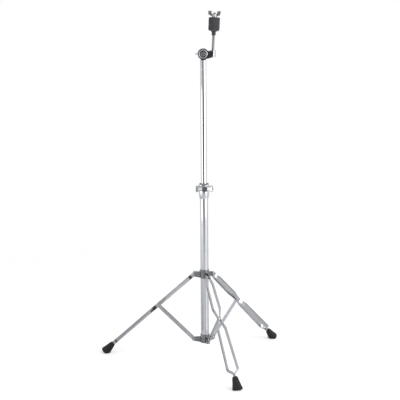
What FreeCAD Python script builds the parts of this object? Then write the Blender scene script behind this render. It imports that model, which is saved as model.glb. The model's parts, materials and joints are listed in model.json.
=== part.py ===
import FreeCAD, Part
import math
import os

# Straight cymbal stand: double-tube height adjustment, double-braced folding tripod,
# ratchet tilter, felts and wing nut. Millimetres, +Z up, floor at z = 0.
# Every piece is built about the tube axis. At the end the whole stand is moved sideways
# so that the origin is the middle of its footprint.

V = FreeCAD.Vector
Z_AXIS = V(0, 0, 1)
Y_AXIS = V(0, 1, 0)
X_AXIS = V(1, 0, 0)
ORIGIN = V(0, 0, 0)

# ---- Driving sizes -----------------------------------------------------------------------

# Tubes
base_tube_od = 25.4
base_tube_wall = 1.2
base_tube_length = 485.0
upper_tube_od = 19.05
upper_tube_wall = 1.2
upper_tube_length = 497.0
upper_tube_inserted = 101.0     # length of the upper tube inside the base tube
tube_crimp_below_top = 28.0     # rolled groove that holds the tilter's plug
tube_crimp_depth = 0.7
tube_crimp_radius = 1.6
plug_wall = 2.0
plug_length = 14.0
glide_length = 22.0
glide_lip = 2.0
glide_shoulder = 1.0            # how far the lip reaches in past the tube's bore

# Tripod
front_leg_azimuth = -73.9       # degrees from +X; the others follow at 120 degree steps
leg_spread = 48.4               # angle of a leg from the tube
leg_length = 387.8              # collar pivot to the middle of the foot's ball
link_length = 156.4             # collar pivot to brace pivot, and the brace's own length
pivot_radius = 35.5             # both hubs' pivots, measured from the tube axis
strip_width = 12.2
strip_depth = 4.4               # depth of the pressed channel
strip_sheet = 1.2
strip_flat = 2.2                # thickness where a strip is pinched flat
strip_flat_half = 8.0           # half length of a flat about its rivet
upper_run_offsets = (7.3, 9.0)  # inner face of a strip from the leg's middle plane
lower_run_offsets = (9.8, 13.8)
joggle_at_collar = 16.0
joggle_above_brace = 28.0
joggle_below_brace = 22.0
joggle_at_foot = 16.0
brace_width = 11.8
brace_thickness = 4.4
brace_recess = 1.5

# Hubs
hub_sheet = 1.5
hub_height = 27.0
hub_below_pivot = 9.0           # how far a hub reaches below its pivots
ear_sheet = 1.6
ear_root_half = 8.5             # half height of an ear at the tube
ear_tip_radius = 6.2
ear_shoulder_in = 0.43          # the round tip begins this far past the pivot, in tip radii
ear_shoulder_half = 0.9
hub_cup_floor = 2.0
tube_end_above_cup = 1.0

# Rivets
rivet_radius = 2.5
rivet_head_radius = 4.2
rivet_head_height = 1.7
hub_rivet_radius = 2.0
hub_rivet_head_radius = 3.4
hub_rivet_above_pivot = 12.0

# Feet
foot_centre_z = 14.3            # height of a leg's end, inside its foot
foot_above_end = 27.0           # the foot's neck starts this far up the leg from its end
foot_neck_radius = 8.0
foot_neck_length = 4.5
foot_shoulder_radius = 9.2
foot_cone_length = 34.0
foot_cone_radius = 16.0         # at the lower, wide end
foot_dome_height = 4.5
foot_lean = 6.0                 # the cone stands this much steeper than the leg
strip_before_end = 5.0

# Height clamp
clamp_wall = 3.8                # base tube to the clamp's outside
clamp_height = 33.0
clamp_taper = 12.0
clamp_taper_end_wall = 1.3
clamp_seat_depth = 16.0         # the base tube's end stands this far below the clamp's top
bushing_flange = 2.0
bushing_flange_reach = 1.6
bushing_sleeve = 22.0           # part of the bushing inside the base tube
clamp_bolt_azimuth = -87.0
clamp_bolt_below_top = 11.5
clamp_boss_width = 18.0
clamp_boss_height = 16.0
clamp_boss_past_tube = 10.3     # base tube to the boss's flat front
clamp_edge = 1.5                # chamfers
clamp_boss_edge = 1.2

# Wing bolts and nuts, M8
thread_radius = 4.0
shoe_radius = 3.6
shoe_thickness = 2.0
clamp_handle_half_span = 29.5
clamp_handle_tip_height = 20.5
clamp_handle_root_height = 13.0
clamp_handle_thickness = 5.5
clamp_handle_gap = 6.0          # from the boss to the handle
collar_boss_radius = 8.0
collar_boss_past_tube = 11.3
collar_bolt_above_pivot = 3.0
wing_half_span = 24.8
wing_thickness = 3.6
wing_root_radius = 6.5
wing_boss_length = 13.0

# Tilter
tilter_above_tube = 19.0        # tube top to the tilter's axis
tilter_flange_height = 0.6      # coned shoulder that rests on the tube's end
tilter_plug_length = 40.0
tilter_disc_radius = 17.0
tilter_disc_thickness = 8.5
tilter_tooth_count = 36
tilter_tooth_depth = 0.8
tilter_tooth_root = 11.0
tilter_ring_outer = 15.8
tilter_ring_inner = 11.6
tilter_ring_height = 1.2
tilter_head_flats = 13.0
tilter_head_height = 5.3
tilter_neck_width = 15.0
tilter_neck_wall = 5.0          # between the neck's hidden top and the bolt hole
tilter_washer_radius = 8.5
tilter_washer_thickness = 1.6
tilter_bolt_past_nut = 3.0
spring_sheet = 0.7
spring_radius = 7.6
spring_pocket = 1.8             # depth of the spring's recess in each disc
spring_room = 0.4               # radial room round the spring
rod_lean = 3.0                  # degrees to the right, seen from the front
rod_offset = 29.4               # tilter axis to the rod, along +X
rod_boss_radius = 8.5
rod_boss_height = 21.0
rod_boss_above_axis = 1.0
arm_depth = 8.5
arm_underside_slope = 17.0      # the arm's lower edge leaves the disc as a tangent
arm_top_at_rod = 9.5
arm_top_at_disc = 11.5

# Cymbal seat, measured along the rod from the middle of its boss
rod_above_boss = 116.5
rod_radius = 4.0
sleeve_start = 55.0
sleeve_radius = 6.2
sleeve_flange_radius = 8.6
sleeve_flange = 2.0
sleeve_length = 52.0
cup_washer_radius = 13.5
cup_washer_sheet = 1.2
cup_washer_dish = 3.0
felt_radius = 17.5
felt_height = 19.5
felt_round = 3.0
mid_washer_thickness = 1.6
nut_washer_radius = 9.0
nut_washer_thickness = 1.2
cymbal_nut_radius = 5.8
cymbal_nut_length = 13.0
cymbal_nut_half_span = 20.3

# Named clearances
running = 0.05                  # pin or bolt in its hole, radial
tube_running = 0.08             # upper tube in its bushing, glide in the base tube, radial
open_pivot = 0.3                # leg pins that close the linkage, radial
side_gap = 0.2                  # between pivoting faces
collar_slide = 0.1              # collar on the base tube, radial
disc_gap = 0.4                  # between the tilter's discs
foot_fit = 0.1                  # strip ends in the rubber foot

# ---- Derived places ----------------------------------------------------------------------

spread = math.radians(leg_spread)
collar_pivot_z = foot_centre_z + leg_length * math.cos(spread)
hub_pivot_z = collar_pivot_z - 2 * link_length * math.cos(spread)
leg_azimuths = {
    "front": front_leg_azimuth,
    "left": front_leg_azimuth - 120,
    "right": front_leg_azimuth + 120,
}

base_tube_radius = base_tube_od / 2
base_bore_radius = base_tube_radius - base_tube_wall
clamp_radius = base_tube_radius + clamp_wall
clamp_boss_reach = base_tube_radius + clamp_boss_past_tube
collar_boss_reach = base_tube_radius + collar_boss_past_tube
upper_tube_radius = upper_tube_od / 2
upper_bore_radius = upper_tube_radius - upper_tube_wall
hub_bottom = hub_pivot_z - hub_below_pivot
base_tube_bottom = hub_bottom + hub_cup_floor + tube_end_above_cup
base_tube_top = base_tube_bottom + base_tube_length
upper_tube_bottom = base_tube_top - upper_tube_inserted
upper_tube_top = upper_tube_bottom + upper_tube_length
clamp_top = base_tube_top + clamp_seat_depth
clamp_bottom = clamp_top - clamp_height - clamp_taper
tilter_z = upper_tube_top + tilter_above_tube
tilter_reach = 2 * tilter_disc_radius       # far enough to pass both discs

ear_gap_half = brace_thickness / 2 + side_gap
ear_half = ear_gap_half + ear_sheet
strip_at_collar = ear_half + side_gap
strip_at_brace = brace_thickness / 2 + side_gap
foot_top = leg_length - foot_above_end
foot_rivet_at = foot_top - strip_flat_half
strip_end = leg_length - strip_before_end

rod_centre = V(rod_offset, 0, tilter_z + rod_boss_above_axis)


# ---- Helpers -----------------------------------------------------------------------------

def cylinder(radius, start, end, axis=Z_AXIS):
    """Cylinder about an axis line through the origin, between two distances along it."""
    return Part.makeCylinder(radius, end - start, axis * start, axis)


def ring(outer, inner, start, end, axis=Z_AXIS):
    return cylinder(outer, start, end, axis).cut(cylinder(inner, start - 1, end + 1, axis))


def polygon_face(points):
    return Part.Face(Part.makePolygon(points + [points[0]]))


def turned(profile):
    """Solid turned about Z from a closed (radius, height) outline."""
    face = polygon_face([V(r, 0, z) for r, z in profile])
    return face.revolve(ORIGIN, Z_AXIS, 360)


def edge_face(edges):
    return Part.Face(Part.Wire(edges))


def line(a, b):
    return Part.LineSegment(a, b).toShape()


def arc(a, middle, b):
    return Part.Arc(a, middle, b).toShape()


def dome(radius, height):
    """Cap of a sphere standing on z = 0."""
    sphere_radius = (radius ** 2 + height ** 2) / (2 * height)
    half = math.asin(radius / sphere_radius) / 2
    middle = V(
        sphere_radius * math.sin(half), 0, height - sphere_radius * (1 - math.cos(half))
    )
    rim, tip = V(radius, 0, 0), V(0, 0, height)
    face = edge_face([line(ORIGIN, rim), arc(rim, middle, tip), line(tip, ORIGIN)])
    return face.revolve(ORIGIN, Z_AXIS, 360)


def joined(shapes):
    whole = shapes[0]
    for shape in shapes[1:]:
        whole = whole.fuse(shape)
    return whole.removeSplitter()


def moved(shape, *, turn=0.0, axis=Z_AXIS, to=ORIGIN):
    """Copy turned about an axis through the origin, in degrees, then moved."""
    copy = shape.copy()
    copy.rotate(ORIGIN, axis, turn)
    copy.translate(to)
    return copy


def mirrored(shape):
    """Copy on the other side of the XZ plane."""
    return shape.mirror(ORIGIN, Y_AXIS)


def along_y(shape):
    """Turns a piece built along +Z so that it lies along +Y."""
    return moved(shape, turn=-90, axis=X_AXIS)


def along_minus_y(shape):
    """Turns a piece built along +Z so that it points along -Y, its +X kept."""
    return moved(shape, turn=90, axis=X_AXIS)


def along_x(shape):
    """Turns a piece built along +Z so that it lies along +X."""
    return moved(shape, turn=90, axis=Y_AXIS)


def rivet(shank, head, head_height, grip_half):
    """Rivet along Y with a domed head past each end of its grip."""
    cap = dome(head, head_height)
    top = moved(cap, to=V(0, 0, grip_half))
    bottom = moved(top, turn=180, axis=X_AXIS)
    return along_y(joined([cylinder(shank, -grip_half, grip_half), top, bottom]))


def stadium(length_from, length_to, width, depth):
    """Bar along X with round ends centred on the two lengths, extruded along Y."""
    half = width / 2
    bar = Part.makeBox(length_to - length_from, depth, width, V(length_from, -depth / 2, -half))
    ends = [
        moved(cylinder(half, -depth / 2, depth / 2, Y_AXIS), to=V(at, 0, 0))
        for at in (length_from, length_to)
    ]
    return joined([bar] + ends)


def band(stations, width):
    """Prism across `width` between the inner and outer face given at each station."""
    inner = [V(s, low, -width / 2) for s, low, high in stations]
    outer = [V(s, high, -width / 2) for s, low, high in reversed(stations)]
    return polygon_face(inner + outer).extrude(V(0, 0, width))


# ---- Tubes -------------------------------------------------------------------------------

def base_tube():
    return ring(base_tube_radius, base_bore_radius, base_tube_bottom, base_tube_top)


def base_tube_plug():
    """Plastic end plug: a cup pushed up into the base tube's lower end."""
    body = cylinder(
        base_bore_radius - running, base_tube_bottom, base_tube_bottom + plug_length
    )
    hollow = cylinder(
        base_bore_radius - plug_wall,
        base_tube_bottom + plug_wall,
        base_tube_bottom + plug_length + 1,
    )
    rim = cylinder(base_tube_radius - running, hub_bottom + hub_cup_floor, base_tube_bottom)
    return joined([body, rim]).cut(hollow)


def upper_tube():
    tube = ring(upper_tube_radius, upper_bore_radius, upper_tube_bottom, upper_tube_top)
    groove_centre = upper_tube_radius + tube_crimp_radius - tube_crimp_depth
    groove = Part.makeTorus(
        groove_centre, tube_crimp_radius, V(0, 0, upper_tube_top - tube_crimp_below_top)
    )
    return tube.cut(groove)


def tube_glide():
    """Plastic ring on the upper tube's lower end that slides in the base tube."""
    start = upper_tube_bottom - glide_lip
    body = cylinder(base_bore_radius - tube_running, start, start + glide_length)
    seat = cylinder(upper_tube_radius + running, upper_tube_bottom, start + glide_length + 1)
    hole = cylinder(upper_bore_radius - glide_shoulder, start - 1, start + glide_length)
    return body.cut(seat).cut(hole)


# ---- Hubs --------------------------------------------------------------------------------

def ear_pair(pivot_z, root_middle_z):
    """Two parallel plates along +X that carry one pivot, with a hole for its pin."""
    root = base_tube_radius + hub_sheet / 2
    top = root_middle_z + ear_root_half
    bottom = root_middle_z - ear_root_half
    tip = V(pivot_radius + ear_tip_radius, 0, pivot_z)
    shoulder_x = pivot_radius + ear_shoulder_in * ear_tip_radius
    shoulder_z = ear_shoulder_half * ear_tip_radius
    tip_top = V(shoulder_x, 0, pivot_z + shoulder_z)
    tip_bottom = V(shoulder_x, 0, pivot_z - shoulder_z)
    outline = edge_face([
        line(V(root, 0, bottom), tip_bottom),
        arc(tip_bottom, tip, tip_top),
        line(tip_top, V(root, 0, top)),
        line(V(root, 0, top), V(root, 0, bottom)),
    ])
    plate = outline.extrude(V(0, ear_sheet, 0))
    plate.translate(V(0, ear_gap_half, 0))
    hole = moved(
        cylinder(rivet_radius + running, 0, ear_half + 1, Y_AXIS),
        to=V(pivot_radius, 0, pivot_z),
    )
    near = plate.cut(hole)
    return [near, mirrored(near)]


def hub_with_ears(bore_radius, bottom, top, pivot_z, root_middle_z):
    shell = cylinder(base_tube_radius + hub_sheet + collar_slide, bottom, top)
    pieces = [shell]
    for azimuth in leg_azimuths.values():
        pieces += [moved(ear, turn=azimuth) for ear in ear_pair(pivot_z, root_middle_z)]
    return joined(pieces).cut(cylinder(bore_radius, bottom - 1, top + 1))


def lower_hub():
    """Pressed hub under the base tube: a sleeve with a cup floor and three ear pairs."""
    hub = hub_with_ears(
        base_tube_radius, hub_bottom, hub_bottom + hub_height, hub_pivot_z, hub_pivot_z
    )
    floor = cylinder(base_tube_radius + hub_sheet / 2, hub_bottom, hub_bottom + hub_cup_floor)
    whole = joined([hub, floor])
    return whole.cut(hub_rivet_holes())


def hub_rivet_directions():
    """Two rivets, on either side of the front ears, hold the lower hub on its tube."""
    return [front_leg_azimuth + 60, front_leg_azimuth - 60]


def hub_rivet_z():
    return hub_pivot_z + hub_rivet_above_pivot


def hub_rivet_holes():
    wall = base_tube_radius + hub_sheet + collar_slide
    holes = []
    for azimuth in hub_rivet_directions():
        hole = along_x(cylinder(hub_rivet_radius, base_bore_radius - 1, wall + 1))
        holes.append(moved(hole, turn=azimuth, to=V(0, 0, hub_rivet_z())))
    return Part.makeCompound(holes)


def lower_hub_rivets():
    wall = base_tube_radius + hub_sheet + collar_slide
    rivets = []
    for azimuth in hub_rivet_directions():
        shank = cylinder(hub_rivet_radius, base_bore_radius, wall)
        head = moved(dome(hub_rivet_head_radius, rivet_head_height), to=V(0, 0, wall))
        one = along_x(joined([shank, head]))
        rivets.append(moved(one, turn=azimuth, to=V(0, 0, hub_rivet_z())))
    return Part.makeCompound(rivets)


def collar_bolt_azimuth():
    return front_leg_azimuth + 180


def collar_bolt_z():
    return collar_pivot_z + collar_bolt_above_pivot


def leg_collar():
    """Sliding hub on the base tube: a sleeve, three ear pairs and a threaded boss."""
    bottom = collar_pivot_z - hub_below_pivot
    bore = base_tube_radius + collar_slide
    hub = hub_with_ears(bore, bottom, bottom + hub_height, collar_pivot_z, collar_pivot_z)
    boss = along_x(cylinder(collar_boss_radius, base_tube_radius, collar_boss_reach))
    boss = moved(boss, turn=collar_bolt_azimuth(), to=V(0, 0, collar_bolt_z()))
    hole = along_x(cylinder(thread_radius + running, 0, collar_boss_reach + 1))
    hole = moved(hole, turn=collar_bolt_azimuth(), to=V(0, 0, collar_bolt_z()))
    whole = joined([hub, boss])
    return whole.cut(cylinder(bore, bottom - 1, bottom + hub_height + 1)).cut(hole)


def pivot_pins(pivot_z, grip_half):
    """The three rivets of one hub, as separate solids."""
    pin = rivet(rivet_radius, rivet_head_radius, rivet_head_height, grip_half)
    pin = moved(pin, to=V(pivot_radius, 0, pivot_z))
    return Part.makeCompound([moved(pin, turn=a) for a in leg_azimuths.values()])


# ---- Legs --------------------------------------------------------------------------------

def on_leg(shape, azimuth):
    """Places a piece built along +X from the collar pivot on its leg."""
    sloped = moved(shape, turn=90 - leg_spread, axis=Y_AXIS)
    sloped.translate(V(pivot_radius, 0, collar_pivot_z))
    return moved(sloped, turn=azimuth)


def on_brace(shape, azimuth):
    """Places a piece built along +X from the lower hub's pivot on its brace."""
    sloped = moved(shape, turn=leg_spread - 90, axis=Y_AXIS)
    sloped.translate(V(pivot_radius, 0, hub_pivot_z))
    return moved(sloped, turn=azimuth)


def strip_stations():
    """Inner and outer face of a strip along the leg: flat at its rivets, deep between."""
    flat = strip_flat_half
    upper_start, upper_end = upper_run_offsets
    lower_start, lower_end = lower_run_offsets
    above = link_length - flat
    below = link_length + flat
    foot_flat = foot_rivet_at - flat
    near_foot = foot_fit / 2
    places = [
        (-strip_width, strip_at_collar, strip_flat),
        (flat, strip_at_collar, strip_flat),
        (flat + joggle_at_collar, upper_start, strip_depth),
        (above - joggle_above_brace, upper_end, strip_depth),
        (above, strip_at_brace, strip_flat),
        (below, strip_at_brace, strip_flat),
        (below + joggle_below_brace, lower_start, strip_depth),
        (foot_flat - joggle_at_foot, lower_end, strip_depth),
        (foot_flat, near_foot, strip_flat),
        (strip_end + strip_width, near_foot, strip_flat),
    ]
    return [(s, inner, inner + depth) for s, inner, depth in places]


def strip_recess(start, end):
    """The hollow of the pressed channel between two stations, open on the outer side."""
    (s0, inner0, outer0), (s1, inner1, outer1) = start, end
    places = [(s0, inner0 + strip_sheet, outer0 + 1), (s1, inner1 + strip_sheet, outer1 + 1)]
    return band(places, strip_width - 2 * strip_sheet)


def leg_strip(top_clearance):
    stations = strip_stations()
    solid = band(stations, strip_width)
    outline = stadium(0, strip_end - strip_width / 2, strip_width, 60)
    solid = solid.common(outline)
    for start, end in ((2, 3), (6, 7)):
        solid = solid.cut(strip_recess(stations[start], stations[end]))
    holes = (
        (0, rivet_radius + top_clearance),
        (link_length, rivet_radius),
        (foot_rivet_at, rivet_radius),
    )
    for at, radius in holes:
        solid = solid.cut(moved(cylinder(radius, -30, 30, Y_AXIS), to=V(at, 0, 0)))
    return solid


def brace():
    """Single bar of the brace, with a shallow channel pressed in each side."""
    solid = stadium(0, link_length, brace_width, brace_thickness)
    inset = strip_flat_half + 4
    hollow = stadium(
        inset, link_length - inset, brace_width - 2 * strip_sheet, brace_recess
    )
    side = brace_thickness / 2 - brace_recess / 2
    solid = solid.cut(moved(hollow, to=V(0, side, 0))).cut(moved(hollow, to=V(0, -side, 0)))
    for at in (0, link_length):
        hole = cylinder(rivet_radius + running, -brace_thickness, brace_thickness, Y_AXIS)
        solid = solid.cut(moved(hole, to=V(at, 0, 0)))
    return solid


def foot():
    """Rubber foot along the leg: a neck, then a steeper cone with a domed end."""
    wide = foot_cone_radius
    end = foot_cone_length + foot_dome_height
    dome_radius = (wide ** 2 + foot_dome_height ** 2) / (2 * foot_dome_height)
    half_turn = math.asin(wide / dome_radius) / 2
    on_dome = V(
        end - dome_radius * (1 - math.cos(half_turn)), 0, dome_radius * math.sin(half_turn)
    )
    corners = [
        ORIGIN,
        V(0, 0, foot_shoulder_radius),
        V(foot_cone_length, 0, wide),
    ]
    edges = [line(a, b) for a, b in zip(corners, corners[1:])]
    edges += [arc(corners[-1], on_dome, V(end, 0, 0)), line(V(end, 0, 0), ORIGIN)]
    cone = edge_face(edges).revolve(ORIGIN, X_AXIS, 360)
    cone = moved(cone, turn=foot_lean, axis=Y_AXIS, to=V(foot_top + foot_neck_length, 0, 0))
    neck = along_x(cylinder(foot_neck_radius, foot_top, foot_top + 2 * foot_neck_length))
    solid = joined([neck, cone])
    pocket_width = strip_width + 2 * foot_fit
    pocket_depth = 2 * strip_flat + foot_fit + 2 * foot_fit
    pocket = stadium(
        foot_top - strip_width,
        strip_end - strip_width / 2 + foot_fit,
        pocket_width,
        pocket_depth,
    )
    return solid.cut(pocket)


def flattened(shape):
    """Cuts away what would reach below the floor."""
    size = 2000
    return shape.cut(Part.makeBox(size, size, size, V(-size / 2, -size / 2, -size)))


# ---- Height clamp and wing bolts ---------------------------------------------------------

def tube_clamp():
    """Steel ferrule on the base tube's upper end, with a threaded boss at the front."""
    radius = clamp_radius
    taper_top = clamp_bottom + clamp_taper
    body = turned([
        (0, clamp_bottom),
        (base_tube_radius + clamp_taper_end_wall, clamp_bottom),
        (radius, taper_top),
        (radius, clamp_top - clamp_edge),
        (radius - clamp_edge, clamp_top),
        (0, clamp_top),
    ])
    boss = Part.makeBox(
        clamp_boss_reach, clamp_boss_width, clamp_boss_height,
        V(0, -clamp_boss_width / 2, -clamp_boss_height / 2),
    )
    rounded = [e for e in boss.Edges if abs(e.CenterOfMass.x - clamp_boss_reach) < 0.01]
    boss = boss.makeChamfer(clamp_boss_edge, rounded)
    boss = moved(boss, turn=clamp_bolt_azimuth, to=V(0, 0, clamp_bolt_z()))
    lower_bore = cylinder(base_tube_radius, clamp_bottom - 1, base_tube_top)
    upper_bore = cylinder(base_tube_radius, base_tube_top, clamp_top + 1)
    hole = along_x(cylinder(thread_radius + running, 0, clamp_boss_reach + 1))
    hole = moved(hole, turn=clamp_bolt_azimuth, to=V(0, 0, clamp_bolt_z()))
    return joined([body, boss]).cut(lower_bore).cut(upper_bore).cut(hole)


def clamp_bolt_z():
    return clamp_top - clamp_bolt_below_top


def clamp_bushing():
    """Plastic bushing in the clamp that guides the upper tube, with a window for the shoe."""
    body = cylinder(base_tube_radius, base_tube_top, clamp_top)
    sleeve = cylinder(base_bore_radius - running, base_tube_top - bushing_sleeve, base_tube_top)
    flange = cylinder(
        base_tube_radius + bushing_flange_reach, clamp_top, clamp_top + bushing_flange
    )
    whole = joined([body, sleeve, flange])
    bore = cylinder(
        upper_tube_radius + tube_running,
        base_tube_top - bushing_sleeve - 1,
        clamp_top + bushing_flange + 1,
    )
    window = along_x(cylinder(thread_radius + running, 0, clamp_radius))
    window = moved(window, turn=clamp_bolt_azimuth, to=V(0, 0, clamp_bolt_z()))
    return whole.cut(bore).cut(window)


def shoe(tube_radius):
    """Pressure disc between a bolt's tip and the tube, along +X."""
    start = tube_radius + running
    return along_x(cylinder(shoe_radius, start, start + shoe_thickness))


def wing_outline(half_span, root, low, high):
    """One butterfly wing in the XZ plane: narrow at the boss, swelling to a round tip."""
    start_low = V(root, 0, low + 1.5)
    start_high = V(root, 0, high - 4.0)
    tip_low = V(half_span - 3.0, 0, low + 4.0)
    tip_high = V(half_span - 4.0, 0, high)
    tip = V(half_span, 0, (low + high) / 2 + 3.0)
    dip = V((root + half_span) / 2, 0, high - 2.6)
    return edge_face([
        line(start_low, tip_low),
        arc(tip_low, tip, tip_high),
        arc(tip_high, dip, start_high),
        line(start_high, start_low),
    ])


def wings(half_span, root, low, high, thickness):
    """The two wings, in the XZ plane, of a nut or bolt whose axis is Z."""
    plate = wing_outline(half_span, root, low, high).extrude(V(0, thickness, 0))
    plate.translate(V(0, -thickness / 2, 0))
    return [plate, moved(plate, turn=180)]


def wing_head(radius, length, half_span):
    """Boss and wings of a butterfly head that stands on z = 0, without its thread."""
    boss = turned([
        (0, 0),
        (radius + 1.2, 0),
        (radius + 1.2, 1.6),
        (radius, 3.0),
        (radius - 0.8, length - 0.8),
        (radius - 1.6, length),
        (0, length),
    ])
    return joined([boss] + wings(half_span, radius - 2.0, 3.0, length + 5.5, wing_thickness))


def bolt_stud(tube_radius, head_at):
    """Threaded stud along +X from the shoe to inside the head."""
    start = tube_radius + running + shoe_thickness
    return along_x(cylinder(thread_radius, start, head_at + 2))


def collar_wing_bolt():
    head_at = collar_boss_reach + clamp_handle_gap
    head = along_x(wing_head(wing_root_radius, wing_boss_length, wing_half_span))
    head.translate(V(head_at, 0, 0))
    return joined([head, bolt_stud(base_tube_radius, head_at)])


def handle_outline():
    """Upper and lower edge of the T handle's blade in the YZ plane, one side."""
    span = clamp_handle_half_span
    tip = clamp_handle_tip_height / 2
    root = clamp_handle_root_height / 2
    return edge_face([
        line(V(0, 0, tip - 1), V(0, span - 3, tip)),
        arc(V(0, span - 3, tip), V(0, span, 0), V(0, span - 3, -tip)),
        line(V(0, span - 3, -tip), V(0, span - 7, -tip)),
        arc(V(0, span - 7, -tip), V(0, span - 11, -tip + 3), V(0, span - 16, -root + 1)),
        line(V(0, span - 16, -root + 1), V(0, 0, -root)),
        line(V(0, 0, -root), V(0, 0, tip - 1)),
    ])


def clamp_wing_bolt():
    """Large T handled bolt of the height clamp, along +X."""
    head_at = clamp_boss_reach + clamp_handle_gap
    blade = handle_outline().extrude(V(clamp_handle_thickness, 0, 0))
    blade.translate(V(head_at + 3, 0, 0))
    boss = along_x(turned([
        (0, 0),
        (6.2, 0),
        (7.6, 2.5),
        (7.6, clamp_handle_thickness + 5),
        (6.6, clamp_handle_thickness + 6),
        (0, clamp_handle_thickness + 6),
    ]))
    boss.translate(V(head_at, 0, 0))
    return joined([boss, blade, mirrored(blade), bolt_stud(upper_tube_radius, head_at)])


def on_clamp(shape):
    return moved(shape, turn=clamp_bolt_azimuth, to=V(0, 0, clamp_bolt_z()))


def on_collar_bolt(shape):
    return moved(shape, turn=collar_bolt_azimuth(), to=V(0, 0, collar_bolt_z()))


# ---- Tilter ------------------------------------------------------------------------------

def on_tilter(shape):
    """Moves a piece built about the origin up to the tilter's axis."""
    return moved(shape, to=V(0, 0, tilter_z))


def ratchet_grooves():
    """Radial V grooves for a disc face at y = 0 that looks along -Y."""
    half = math.pi * tilter_disc_radius / tilter_tooth_count * 0.8
    groove = polygon_face([
        V(tilter_tooth_root, 0, -half * 0.6),
        V(tilter_tooth_root, 0, half * 0.6),
        V(tilter_tooth_root, tilter_tooth_depth, 0),
    ])
    outer = polygon_face([
        V(tilter_disc_radius + 1, 0, -half),
        V(tilter_disc_radius + 1, 0, half),
        V(tilter_disc_radius + 1, tilter_tooth_depth, 0),
    ])
    wedge = Part.makeLoft([groove.OuterWire, outer.OuterWire], True)
    step = 360 / tilter_tooth_count
    return [moved(wedge, turn=i * step, axis=Y_AXIS) for i in range(tilter_tooth_count)]


def toothed_disc():
    """Half of the ratchet behind its gap: a disc along +Y with radial teeth in front."""
    start = disc_gap / 2
    disc = cylinder(tilter_disc_radius, start, start + tilter_disc_thickness, Y_AXIS)
    rim = [e for e in disc.Edges if abs(e.CenterOfMass.y - start - tilter_disc_thickness) < 0.01]
    disc = disc.makeChamfer(1.0, rim)
    for wedge in ratchet_grooves():
        wedge.translate(V(0, start, 0))
        disc = disc.cut(wedge)
    pocket = cylinder(spring_radius + spring_room, start - 1, start + spring_pocket, Y_AXIS)
    return disc.cut(pocket)


def tilter_base():
    """Plug in the upper tube, neck and the rear half of the ratchet."""
    disc = toothed_disc()
    floor = -tilter_above_tube
    plug = cylinder(upper_bore_radius - running, floor - tilter_plug_length, floor)
    flange = turned([
        (0, floor),
        (upper_tube_radius, floor),
        (tilter_neck_width / 2, floor + tilter_flange_height),
        (0, floor + tilter_flange_height),
    ])
    neck = Part.makeBox(
        tilter_neck_width,
        tilter_disc_thickness,
        tilter_above_tube - thread_radius - tilter_neck_wall,
        V(-tilter_neck_width / 2, disc_gap / 2, floor),
    )
    hole = cylinder(thread_radius + running, -tilter_reach, tilter_reach, Y_AXIS)
    return on_tilter(joined([disc, neck, flange, plug]).cut(hole))


def arm_plate():
    """Web from the front disc to the rod boss, tapering towards the boss."""
    start = -disc_gap / 2 - arm_depth
    slope = math.radians(arm_underside_slope)
    rim = tilter_disc_radius - running
    tangent = V(rim * math.sin(slope), start, -rim * math.cos(slope))
    fall = (rod_offset - tangent.x) * math.tan(slope)
    face = polygon_face([
        V(0, start, 0),
        tangent,
        V(rod_offset, start, tangent.z + fall),
        V(rod_offset, start, arm_top_at_rod),
        V(0, start, arm_top_at_disc),
    ])
    return face.extrude(V(0, arm_depth, 0))


def rod_frame(shape):
    """Places a piece built along +Z from the rod boss's middle on the leaning rod."""
    return moved(shape, turn=rod_lean, axis=Y_AXIS, to=rod_centre)


def tilter_arm():
    """Front half of the ratchet with its arm and rod boss, leaning with the rod."""
    disc = mirrored(toothed_disc())
    face_y = disc_gap / 2 + tilter_disc_thickness
    lip = ring(
        tilter_ring_outer, tilter_ring_inner, -face_y - tilter_ring_height, -face_y, Y_AXIS
    )
    boss = cylinder(rod_boss_radius, -rod_boss_height / 2, rod_boss_height / 2)
    boss = boss.makeChamfer(0.8, [e for e in boss.Edges if e.Closed and len(e.Vertexes) == 1])
    boss = moved(boss, turn=rod_lean, axis=Y_AXIS, to=V(rod_offset, 0, rod_boss_above_axis))
    rod_hole = cylinder(rod_radius, -rod_boss_height, rod_boss_height)
    rod_hole = moved(
        rod_hole, turn=rod_lean, axis=Y_AXIS, to=V(rod_offset, 0, rod_boss_above_axis)
    )
    arm = moved(arm_plate(), turn=rod_lean, axis=Y_AXIS)
    bolt_hole = cylinder(thread_radius + running, -tilter_reach, tilter_reach, Y_AXIS)
    pocket = cylinder(
        spring_radius + spring_room, -spring_pocket - disc_gap / 2, 0, Y_AXIS
    )
    whole = joined([disc, lip, boss, arm])
    clear = cylinder(tilter_disc_radius + 1, -disc_gap / 2, tilter_reach, Y_AXIS)
    return on_tilter(whole.cut(rod_hole).cut(bolt_hole).cut(pocket).cut(clear))


def tilter_bolt():
    """Hexagon bolt through both discs, its head inside the arm's ring."""
    face_y = disc_gap / 2 + tilter_disc_thickness
    corner = tilter_head_flats / math.sqrt(3)
    points = [
        V(corner * math.cos(math.radians(60 * i)), 0, corner * math.sin(math.radians(60 * i)))
        for i in range(6)
    ]
    head = polygon_face(points).extrude(V(0, -tilter_head_height, 0))
    head.translate(V(0, -face_y, 0))
    crown = along_minus_y(turned([
        (0, 0),
        (corner + 0.1, 0),
        (corner + 0.1, tilter_head_height - 1.0),
        (tilter_head_flats / 2 - 0.4, tilter_head_height),
        (0, tilter_head_height),
    ]))
    crown.translate(V(0, -face_y, 0))
    end = tilter_nut_y() + wing_boss_length + tilter_bolt_past_nut
    shank = cylinder(thread_radius, -face_y, end, Y_AXIS)
    return on_tilter(joined([head.common(crown), shank]))


def tilter_nut_y():
    return disc_gap / 2 + tilter_disc_thickness + tilter_washer_thickness


def tilter_washer():
    start = disc_gap / 2 + tilter_disc_thickness
    return on_tilter(
        ring(tilter_washer_radius, thread_radius + running, start, tilter_nut_y(), Y_AXIS)
    )


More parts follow.
